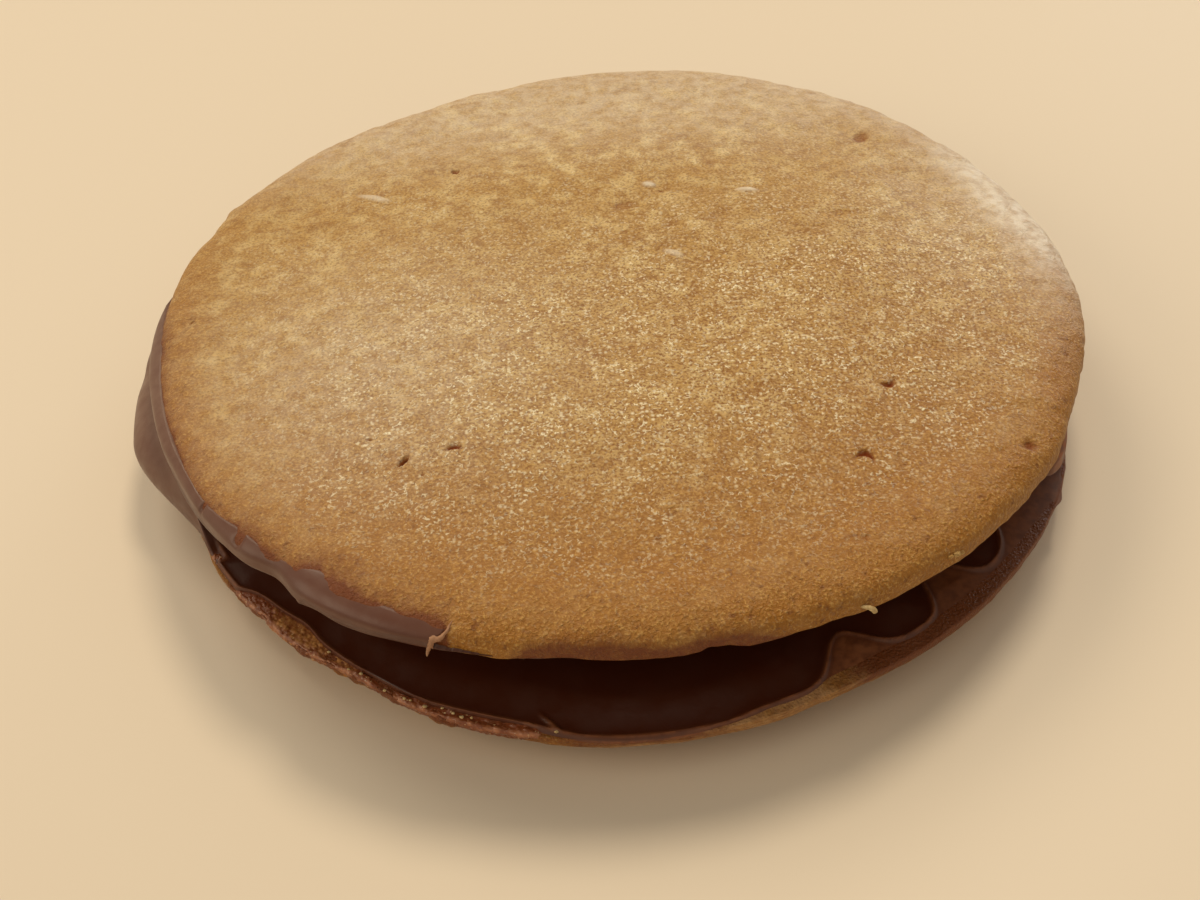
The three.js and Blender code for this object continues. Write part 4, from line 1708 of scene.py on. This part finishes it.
@dataclass(frozen=True)
class LooseCrumbs:
    """Crumbs scattered over a rim."""

    name: str
    half: Half  # The half that they lie on.
    crumbs: tuple[Crumb, ...]
    chance: Chance = Chance(47)  # Their shapes.

    AROUND = 12
    RINGS = 7
    SQUASH = np.array([1.0, 0.8, 0.65])
    APART = 7.0

    def build(self, material: Material) -> bpy.types.Object:
        """Builds the piece.

        Formula: each crumb is a ball, squashed to three lengths, whose radius changes with swells.

        Args:
            material: The crumbs' finish.

        Returns:
            The object.
        """
        around = np.arange(self.AROUND)[:, None] * 360.0 / self.AROUND
        up = math.pi * (np.arange(1, self.RINGS + 1) / (self.RINGS + 1.0) - 0.5)
        ring = spot(np.cos(up), around, np.sin(up)).reshape(-1, 3)
        ball = np.concatenate([[[0.0, 0.0, -1.0]], ring, [[0.0, 0.0, 1.0]]])
        faces = polar_faces(self.AROUND, self.RINGS)
        skin = Skin(self.name)
        for number, crumb in enumerate(self.crumbs):
            swell = 1.0 + 0.6 * self.chance.clouds(ball + self.APART * number, 0.9, 2)
            shape = crumb.size * ball * self.SQUASH * swell[:, None]
            points = shape + spot(crumb.radius, crumb.bearing, crumb.height)
            skin.add(STACK.place(points, self.half), faces, {"hollow": np.zeros(len(points))})
        return skin.build(material, "biscuit")


LOOSE_CRUMBS = LooseCrumbs("loose_crumbs", Half.LOWER, (
    Crumb(32.85, 228.7, 0.22, 0.13),
    Crumb(33.2, 232.3, 0.2, 0.1),
    Crumb(33.05, 233.9, 0.2, 0.14),
    Crumb(33.46, 237.7, 0.18, 0.13),
    Crumb(33.5, 240.3, 0.16, 0.12),
    Crumb(33.48, 241.1, 0.18, 0.1),
    Crumb(33.55, 243.0, 0.16, 0.14),
    Crumb(33.31, 245.0, 0.2, 0.1),
    Crumb(33.47, 246.4, 0.18, 0.12),
    Crumb(33.55, 247.5, 0.16, 0.15),
    Crumb(33.48, 248.6, 0.18, 0.1),
    Crumb(33.6, 258.3, 0.2, 0.16),
))
STUCK_CRUMBS = LooseCrumbs("stuck_crumbs", Half.UPPER, (
    Crumb(34.2, 304.2, 1.0, 0.24),
    Crumb(34.22, 305.1, 0.88, 0.28),
    Crumb(34.2, 306.0, 0.75, 0.24),
))


# ---- Finishes ----


def linear(red: int, green: int, blue: int) -> tuple[float, float, float, float]:
    """A screen colour from 0 to 255 as linear light, by the usual screen curve.

    Args:
        red: Its red, 0 to 255.
        green: Its green.
        blue: Its blue.

    Returns:
        Red, green and blue from 0 to 1, and 1 for opaque.
    """
    shares = [channel / 255.0 for channel in (red, green, blue)]
    light = [s / 12.92 if s <= 0.04045 else ((s + 0.055) / 1.055) ** 2.4 for s in shares]
    return light[0], light[1], light[2], 1.0


@dataclass(frozen=True)
class Patches:
    """Cloudy patches: cloud noise, of which a stretch of values is carried to a range."""

    size: float  # Size of the patches in millimetres.
    start: float  # Noise value where the stretch begins.
    end: float  # Noise value where it ends.
    least: float = 0.0  # The range's value at the start.
    most: float = 1.0  # Its value at the end.
    detail: float = 3.0  # How many finer sizes the noise has.
    rough: float = 0.5  # How strong those are.


class Bench:
    """Lays out the nodes of one material."""

    def __init__(self, name: str) -> None:
        """Starts a material with an output and a principled shader.

        Args:
            name: Its name.
        """
        self.material = bpy.data.materials.new(name)
        self.material.use_nodes = True
        self.nodes = self.material.node_tree.nodes
        self.nodes.clear()
        self.shader = self.nodes.new("ShaderNodeBsdfPrincipled")
        self.add("OutputMaterial", {"Surface": self.shader.outputs["BSDF"]})
        self.place = self.add("TexCoord", {}).outputs["Object"]

    def feed(self, target: Socket, value: object) -> None:
        """Links a socket to a target, or sets the target to a plain value.

        Args:
            target: The socket that is fed.
            value: Socket or plain value.
        """
        if isinstance(value, Socket):
            self.material.node_tree.links.new(value, target)
        else:
            target.default_value = value

    def add(self, kind: str, inputs: dict[str | int, object]) -> bpy.types.Node:
        """Adds a node of that kind and feeds its inputs.

        Args:
            kind: The node's type, without its first word.
            inputs: Socket or value to each input.

        Returns:
            The node.
        """
        node = self.nodes.new(f"ShaderNode{kind}")
        for key, value in inputs.items():
            self.feed(node.inputs[key], value)
        return node

    def clouds(self, size: float, detail: float = 2.0, rough: float = 0.5) -> Socket:
        """Cloud noise with features of about that size in millimetres."""
        inputs = {"Scale": 1.0 / (size * MM), "Detail": detail, "Roughness": rough}
        return self.add("TexNoise", {"Vector": self.place, **inputs}).outputs["Fac"]

    def patches(self, kind: Patches) -> Socket:
        """Cloudy patches of one kind."""
        noise = self.clouds(kind.size, kind.detail, kind.rough)
        return self.remap(noise, kind.start, kind.end, kind.least, kind.most)

    def layers(self, length: float, thickness: float) -> Socket:
        """Cloud noise drawn out level, in layers.

        Args:
            length: Their length in millimetres.
            thickness: Their thickness.

        Returns:
            The noise's socket.
        """
        scale = (1.0, 1.0, length / thickness)
        stretch = self.add("Mapping", {"Scale": scale, "Vector": self.place}).outputs["Vector"]
        return self.add("TexNoise", {"Vector": stretch, "Scale": 1.0 / (length * MM)}).outputs["Fac"]

    def cells(self, size: float) -> tuple[Socket, Socket]:
        """Scattered cells: the distance from each middle, and a random number.

        Args:
            size: Size of the cells in millimetres.

        Returns:
            Their two sockets.
        """
        node = self.add("TexVoronoi", {"Vector": self.place, "Scale": 1.0 / (size * MM)})
        split = self.add("SeparateColor", {"Color": node.outputs["Color"]})
        return node.outputs["Distance"], split.outputs["Red"]

    def vein(self, size: float, width: float) -> Socket:
        """Thin winding lines, where cloud noise of that size passes its middle value."""
        away = self.math("SUBTRACT", self.clouds(size, 1.0), 0.5, held=False)
        return self.remap(self.math("ABSOLUTE", away, held=False), 0.2 * width, width, 1.0, 0.0)

    def painted(self, name: str) -> Socket:
        """A value painted on the piece's own points.

        Args:
            name: The value's name.

        Returns:
            Its socket.
        """
        node = self.add("Attribute", {})
        node.attribute_name = name
        return node.outputs["Fac"]

    def math(
        self, operation: str, first: object, second: object = 0.0, held: bool = True
    ) -> Socket:
        """One sum of two values, held between 0 and 1 unless told otherwise.

        Args:
            operation: Kind of sum.
            first: Socket or number.
            second: Socket or number.
            held: Whether the result is held between 0 and 1.

        Returns:
            The result's socket.
        """
        node = self.add("Math", {0: first, 1: second})
        node.operation = operation
        node.use_clamp = held
        return node.outputs["Value"]

    def times(self, first: object, second: object) -> Socket:
        """One value times another, held between 0 and 1."""
        return self.math("MULTIPLY", first, second)

    def plus(self, first: object, second: object) -> Socket:
        """Two values added up, not held between 0 and 1."""
        return self.math("ADD", first, second, held=False)

    def most(self, *values: object) -> Socket:
        """The largest of several values, held between 0 and 1.

        Args:
            values: Sockets or numbers.

        Returns:
            The largest one's socket.
        """
        largest, *others = values
        for value in others:
            largest = self.math("MAXIMUM", largest, value)
        return largest

    def remap(
        self, value: object, low: float, high: float, to_low: float = 0.0, to_high: float = 1.0
    ) -> Socket:
        """A value from low to high, carried to the range from to_low to to_high."""
        ends = {"From Min": low, "From Max": high, "To Min": to_low, "To Max": to_high}
        return self.add("MapRange", {"Value": value, **ends}).outputs["Result"]

    def lay(self, under: object, share: object, colour: Colour) -> Socket:
        """A screen colour laid over another colour by a share.

        Args:
            under: Socket or linear colour.
            share: Socket or number, 1 where only the new colour shows.
            colour: The new colour, 0 to 255.

        Returns:
            The result's socket.
        """
        node = self.add("Mix", {})
        node.data_type = "RGBA"
        self.feed(node.inputs["Factor"], share)
        first, second = (socket for socket in node.inputs if socket.type == "RGBA")
        self.feed(first, under)
        self.feed(second, linear(*colour))
        return next(socket for socket in node.outputs if socket.type == "RGBA")

    def bump(self, height: object, strength: float, depth: float, under: object = None) -> Socket:
        """Fine unevenness, on top of another if there is one.

        Args:
            height: Socket of the heights.
            strength: How strong it is.
            depth: Its depth in millimetres.
            under: Socket of the unevenness beneath, if there is one.

        Returns:
            The socket of the tilted surface.
        """
        inputs = {"Height": height, "Strength": strength, "Distance": depth * MM}
        if under is not None:
            inputs["Normal"] = under
        return self.add("Bump", inputs).outputs["Normal"]

    def done(self, colour: object, roughness: object, normal: object = None) -> Material:
        """Feeds the shader and hands over the material.

        Args:
            colour: Socket or linear colour.
            roughness: Socket or number.
            normal: Socket, if there is one.

        Returns:
            The material.
        """
        self.feed(self.shader.inputs["Base Color"], colour)
        self.feed(self.shader.inputs["Roughness"], roughness)
        if normal is not None:
            self.feed(self.shader.inputs["Normal"], normal)
        return self.material


@dataclass(frozen=True)
class CrustFinish:
    """Baked golden crust: fine grained, cloudy, browner at the rim, with pores, pale flecks with painted
    glints, painted sheen, and painted shade in the grain and the holes.
    """

    tan: Colour = (185, 145, 82)  # The middle.
    pale: Colour = (226, 200, 144)  # The pale clouds.
    tip: Colour = (212, 168, 96)  # The tips of the fine grain, with painted highlight.
    brown: Colour = (160, 104, 32)  # The browned rim.
    fleck: Colour = (255, 244, 212)  # The finest pale flecks: pale grains and painted glints.
    crevice: Colour = (146, 96, 34)  # Colour between the finest grains, painted shade there; also the darker patches' colour.
    pore: Colour = (108, 56, 8)  # Pores.
    pit_shade: Colour = (122, 50, 0)  # Painted shade in the holes, darker the deeper they are.
    film: Colour = (112, 56, 28)  # Colour where chocolate film lies on the crust.
    sheen: Colour = (242, 230, 212)  # The painted sheen: whitish colour for the lamps' reflection.
    layer: Colour = (204, 160, 110)  # The split layers in the lower rim's side.
    # Where the pale clouds lie.
    clouds: Patches = Patches(1.7, 0.46, 0.66, 0.0, 0.95, detail=4.0, rough=0.6)
    broad: Patches = Patches(12.0, 0.3, 0.7, 0.5, detail=2.0)  # How strong they are from place to place.
    dips: Patches = Patches(1.3, 0.54, 0.7, 0.0, 0.65, rough=0.6)  # Where the crust is darker in dips.
    uneven: Patches = Patches(1.6, 0.3, 0.7, 0.8)  # How strong the browning is from place to place.
    short: Patches = Patches(0.3, 0.52, 0.62, detail=1.0)  # Where the pale strokes show.
    dense: Patches = Patches(4.0, 0.35, 0.62, 0.4)  # How thick the pale flecks lie from place to place.
    streaks: Patches = Patches(1.0, 0.35, 0.62, 0.45)  # How strong the painted sheen is from place to place.
    pores: Patches = Patches(0.6, 0.6, 0.74, 0.0, 0.7, detail=2.0)  # Where the pores lie.
    ragged: Patches = Patches(0.5, 0.3, 0.7, -0.15, 0.15)  # How far the film's border strays.
    specular: float = 0.28  # How strongly the crust reflects.
    roughness: float = 0.48  # Roughness of the plain crust.
    shiny_roughness: float = 0.3  # Roughness of its flecks and where the painted sheen lies.
    pit_roughness: float = 0.95  # Roughness of its holes.

    def make(self) -> Material:
        """Makes the material, layer upon layer: clouds, browning, grain with painted shade and glints,
        painted sheen, pores, film and painted shade in the holes.

        Returns:
            The material.
        """
        bench = Bench("baked_crust")
        brown, glint, pit_shade = (bench.painted(name) for name in ("brown", "glint", "pit_shade"))
        whole = bench.remap(pit_shade, 0.05, 0.45, 1.0, 0.0)
        clouds = bench.times(bench.patches(self.clouds), bench.patches(self.broad))
        colour = bench.lay(linear(*self.tan), clouds, self.pale)
        colour = bench.lay(colour, bench.patches(self.dips), self.crevice)
        colour = bench.lay(colour, bench.times(brown, bench.patches(self.uneven)), self.brown)
        fine = bench.clouds(0.2, 2.0, 0.6)
        # The fine grain, on the same noise as its bump: painted shade in its crevices, strongest where
        # the glints are, and painted highlight on its tips.
        crevice_shade = bench.times(bench.remap(fine, 0.53, 0.37), bench.remap(glint, 0.2, 1.0, 0.55))
        colour = bench.lay(colour, crevice_shade, self.crevice)
        colour = bench.lay(colour, bench.remap(fine, 0.54, 0.7, 0.0, 0.6), self.tip)
        # Pale flecks: pale grains and painted glints, thickest where the glint share is.
        strokes = bench.times(bench.vein(0.38, 0.075), bench.patches(self.short))
        away, own = bench.cells(0.34)
        dots = bench.remap(away, 0.5, 0.15, 0.0, 0.8)
        dots = bench.times(dots, bench.remap(own, 0.7, 0.78, 0.0, 0.9))
        dense = bench.times(bench.patches(self.dense), glint)
        pale_grain_and_glint = bench.times(bench.most(strokes, dots), dense)
        colour = bench.lay(colour, pale_grain_and_glint, self.fleck)
        # Painted sheen: whitish colour for the lamps' reflection, joined by the blisters' pale spots and
        # painted highlights.
        painted_sheen = bench.times(bench.painted("painted_sheen"), bench.patches(self.streaks))
        painted_sheen = bench.times(bench.most(painted_sheen, bench.painted("pale_spot_and_highlight")), 0.85)
        painted_sheen = bench.times(painted_sheen, whole)
        colour = bench.lay(colour, painted_sheen, self.sheen)
        pores = bench.times(bench.patches(self.pores), bench.remap(brown, 0.0, 1.0, 0.15, 0.9))
        pores = bench.times(pores, bench.remap(painted_sheen, 0.0, 0.5, 1.0, 0.2))
        colour = bench.lay(colour, pores, self.pore)
        layers = bench.remap(bench.layers(2.2, 0.16), 0.35, 0.65, 0.1, 0.9)
        colour = bench.lay(colour, bench.times(bench.painted("split"), layers), self.layer)
        film = bench.plus(bench.painted("stain"), bench.patches(self.ragged))
        film = bench.remap(film, 0.1, 0.9, 0.0, 0.92)
        colour = bench.lay(colour, film, self.film)
        # Painted shade in the holes.
        colour = bench.lay(colour, bench.remap(pit_shade, 0.0, 0.75, 0.0, 0.97), self.pit_shade)
        bench.shader.inputs["Specular IOR Level"].default_value = self.specular
        shiny = bench.times(bench.most(pale_grain_and_glint, bench.times(film, 0.4), painted_sheen), whole)
        rough = bench.remap(shiny, 0.0, 1.0, self.roughness, self.shiny_roughness)
        rough = bench.most(rough, bench.times(pit_shade, self.pit_roughness))
        normal = bench.bump(bench.clouds(0.8, 3.0, 0.6), 0.7, 0.2)
        normal = bench.bump(fine, 0.9, 0.12, normal)
        normal = bench.bump(strokes, 0.5, 0.04, normal)
        return bench.done(colour, rough, normal)


@dataclass(frozen=True)
class ChocolateFinish:
    """Set milk chocolate: smooth, satin, slightly streaked, paler where it is thin, bloomed and given
    painted sheen, and darker with painted shade inside the mouth.
    """

    body: Colour = (88, 44, 25)
    light: Colour = (100, 54, 33)  # Its paler streaks.
    thin: Colour = (122, 91, 75)  # Colour where it is thin and slightly bloomed, with painted sheen: the grey-pink reflection of the pale surroundings.
    inside: Colour = (70, 30, 13)  # Painted shade inside the mouth: the pool, the undersides and the lip's lower face, where the upper biscuit shades them.
    rubbed: Colour = (140, 83, 47)  # Colour where it is rubbed dull; also the painted highlight on the lower coat's raised line and whisker.
    roughness: float = 0.36
    streaks: Patches = Patches(2.4, 0.4, 0.7, 0.0, 0.6)  # Where the paler streaks lie.
    uneven: Patches = Patches(0.8, 0.3, 0.7, 0.6)  # How strong the bloom and painted sheen are from place to place.
    rubs: Patches = Patches(0.7, 0.35, 0.6, 0.3)  # How strong the rubbing is from place to place.

    def make(self, name: str) -> Material:
        """Makes the material under that name.

        Args:
            name: The material's name.

        Returns:
            The material.
        """
        bench = Bench(name)
        colour = bench.lay(linear(*self.body), bench.patches(self.streaks), self.light)
        # Bloom and painted sheen: paler grey-pink where the coat reflects the pale surroundings.
        bloom_and_sheen = bench.times(bench.painted("bloom_and_sheen"), bench.patches(self.uneven))
        colour = bench.lay(colour, bloom_and_sheen, self.thin)
        # Painted shade inside the mouth.
        colour = bench.lay(colour, bench.painted("shade"), self.inside)
        rubbed = bench.times(bench.painted("rubbed"), bench.patches(self.rubs))
        colour = bench.lay(colour, rubbed, self.rubbed)
        dull = Patches(1.5, 0.3, 0.7, self.roughness - 0.06, self.roughness + 0.1, detail=2.0)
        rough = bench.plus(bench.patches(dull), bench.times(rubbed, 0.25))
        normal = bench.bump(bench.clouds(1.1, 2.0), 0.25, 0.1)
        normal = bench.bump(bench.clouds(0.25, 2.0), 0.25, 0.02, normal)
        return bench.done(colour, rough, normal)


@dataclass(frozen=True)
class CrumbleFinish:
    """Broken biscuit: golden brown crumb, smeared in part with shiny chocolate, with painted shade in its
    hollows.
    """

    crumb: Colour = (176, 112, 50)  # The crumb.
    light: Colour = (214, 158, 92)  # Its pale grains.
    deep: Colour = (122, 62, 26)  # Painted shade in its hollows between the lumps.
    smear: Colour = (124, 62, 32)  # The smeared chocolate.
    border: Colour = (184, 122, 84)  # The broken outer border.
    speck: Colour = (226, 196, 150)  # Its finest pale specks.
    grains: Patches = Patches(0.24, 0.4, 0.66, rough=0.6)  # Where the pale grains lie.
    # How strong the border's colour is from place to place.
    edging: Patches = Patches(0.6, 0.4, 0.6, 0.1, 0.9)
    specks: Patches = Patches(0.18, 0.68, 0.76, 0.0, 0.8, detail=1.0)  # Where the pale specks lie.
    roughness: float = 0.55  # Roughness of the plain crumb.
    smear_roughness: float = 0.26  # Roughness of the smeared chocolate.

    def make(self, name: str) -> Material:
        """Makes the material under that name.

        Args:
            name: The material's name.

        Returns:
            The material.
        """
        bench = Bench(name)
        colour = bench.lay(linear(*self.crumb), bench.patches(self.grains), self.light)
        # Painted shade in the hollows.
        hollow = bench.remap(bench.painted("hollow"), 0.2, 0.6, 0.0, 0.6)
        colour = bench.lay(colour, hollow, self.deep)
        smeared = bench.remap(bench.painted("smear"), 0.3, 0.6, 0.0, 0.95)
        colour = bench.lay(colour, smeared, self.smear)
        edging = bench.times(bench.painted("border"), bench.patches(self.edging))
        colour = bench.lay(colour, edging, self.border)
        colour = bench.lay(colour, bench.patches(self.specks), self.speck)
        rough = bench.remap(smeared, 0.0, 1.0, self.roughness, self.smear_roughness)
        return bench.done(colour, rough, bench.bump(bench.clouds(0.25, 2.0, 0.6), 0.6, 0.08))


@dataclass(frozen=True)
class FloorFinish:
    """Plain pale floor."""

    colour: Colour = (230, 215, 195)
    tint: tuple[float, float, float, float] = (0.7, 0.62, 0.5, 1.0)  # Colour of its faint broad clouds.
    clouds: Patches = Patches(900.0, 0.0, 1.0, 1.0, 0.95, detail=1.0)  # Where they lie.
    roughness: float = 0.5

    def make(self) -> Material:
        """Makes the material.

        Returns:
            The material.
        """
        bench = Bench("pale_floor")
        colour = bench.lay(self.tint, bench.patches(self.clouds), self.colour)
        return bench.done(colour, self.roughness)


# ---- Stage ----


@dataclass(frozen=True)
class Viewpoint:
    """The camera."""

    elevation: float = 46.0  # Its height over the horizon in degrees, seen from the cookie.
    roll: float = -5.65  # Degrees by which it is turned about its own axis.
    distance: float = 127.7  # From the point that it looks at.
    aim_x: float = -2.28  # That point, from the lower biscuit's middle.
    aim_y: float = -10.96  # The same, to the back.
    aim_z: float = 6.25  # Its height over the floor.
    lens: float = 53.8  # Focal length on a sensor 36 mm wide.

    def build(self) -> bpy.types.Object:
        """Puts the camera in: its back axis points from the aim to it, turned by the roll.

        Returns:
            The camera.
        """
        tilt = math.radians(self.elevation)
        back = Vector((0.0, -math.cos(tilt), math.sin(tilt)))
        right = Matrix.Rotation(math.radians(self.roll), 3, back) @ Vector((1.0, 0.0, 0.0))
        upward = back.cross(right)
        middle = STACK.middle()
        aim = Vector((middle[0] + self.aim_x, middle[1] + self.aim_y, self.aim_z)) * MM
        camera = bpy.data.objects.new("camera", bpy.data.cameras.new("camera"))
        camera.data.lens = self.lens
        camera.data.sensor_width = 36.0
        camera.data.clip_start = 0.005
        turned = Matrix((right, upward, back)).transposed().to_4x4()
        camera.matrix_world = Matrix.Translation(aim + back * self.distance * MM) @ turned
        bpy.context.scene.collection.objects.link(camera)
        bpy.context.scene.camera = camera
        return camera


@dataclass(frozen=True)
class SoftBox:
    """A large soft lamp that points at the cookie."""

    name: str
    bearing: float  # Bearing at which it stands.
    elevation: float  # Its height over the horizon in degrees.
    distance: float  # Its distance in metres.
    size: float  # Its width in metres.
    power: float  # Its power in watts.
    colour: Colour

    def build(self) -> bpy.types.Object:
        """Puts the lamp in.

        Returns:
            The lamp.
        """
        lamp = bpy.data.lights.new(self.name, "AREA")
        lamp.shape = "DISK"
        lamp.size = self.size
        lamp.energy = self.power
        lamp.color = linear(*self.colour)[:3]
        turned = Matrix.Rotation(math.radians(self.bearing + 90.0), 4, "Z")
        raised = Matrix.Rotation(math.radians(90.0 - self.elevation), 4, "X")
        light = bpy.data.objects.new(self.name, lamp)
        light.matrix_world = turned @ raised @ Matrix.Translation((0.0, 0.0, self.distance))
        bpy.context.scene.collection.objects.link(light)
        return light


@dataclass(frozen=True)
class Stage:
    """Floor, lamps and surroundings."""

    half_width: float = 4.0  # Half the floor's width in metres.
    lamps: tuple[SoftBox, ...] = (
        SoftBox("window", 125.0, 48.0, 0.9, 0.45, 1.85, (255, 240, 212)),
        SoftBox("ceiling", 70.0, 60.0, 0.9, 0.25, 3.0, (255, 237, 206)),
        SoftBox("low_pane", 57.0, 11.0, 0.7, 0.3, 0.8, (240, 249, 255)),
        SoftBox("room", 190.0, 30.0, 1.0, 0.7, 2.1, (255, 237, 206)),
        SoftBox("kitchen", 262.0, 48.0, 1.1, 0.6, 0.55, (255, 212, 150)),
    )
    sky: Colour = (255, 247, 230)  # The surroundings.
    sky_strength: float = 0.35  # Their strength.

    def build(self) -> None:
        """Builds the floor and lamps, and sets the surroundings and the view's colours."""
        skin = bpy.data.meshes.new("floor")
        w = self.half_width
        skin.from_pydata([(-w, -w, 0.0), (w, -w, 0.0), (w, w, 0.0), (-w, w, 0.0)], [], [(0, 1, 2, 3)])
        floor = bpy.data.objects.new("floor", skin)
        floor.data.materials.append(FloorFinish().make())
        bpy.context.scene.collection.objects.link(floor)
        for lamp in self.lamps:
            lamp.build()
        world = bpy.data.worlds.new("surroundings")
        world.use_nodes = True
        background = world.node_tree.nodes["Background"]
        background.inputs["Color"].default_value = linear(*self.sky)
        background.inputs["Strength"].default_value = self.sky_strength
        bpy.context.scene.world = world
        bpy.context.scene.view_settings.view_transform = "Standard"


def main() -> None:
    """Builds the camera, the stage and each piece in order."""
    logging.basicConfig(level=logging.INFO, format="%(name)s: %(message)s")
    Viewpoint().build()
    Stage().build()
    crust = CrustFinish().make()
    chocolate = ChocolateFinish().make("milk_chocolate")
    snapped = ChocolateFinish((160, 114, 82), (196, 152, 116), roughness=0.5)
    snapped = snapped.make("snapped_chocolate")
    crumble = CrumbleFinish().make("broken_crumb")
    pale_crumb = CrumbleFinish((190, 160, 108), (216, 192, 142), (150, 112, 62), (190, 150, 96))
    pale_crumb = pale_crumb.make("pale_crumb")
    BottomBiscuit().build(crust)
    CrumblyRim().build(crumble)
    LOWER_COAT.build(chocolate)
    UPPER_COAT.build(chocolate)
    BROKEN_END.build(snapped)
    CURLED_CRUMB.build(pale_crumb)
    LOOSE_CRUMBS.build(pale_crumb)
    STUCK_CRUMBS.build(crust)
    TopBiscuit().build(crust)
    bpy.context.view_layer.update()


if __name__ == "__main__":
    main()
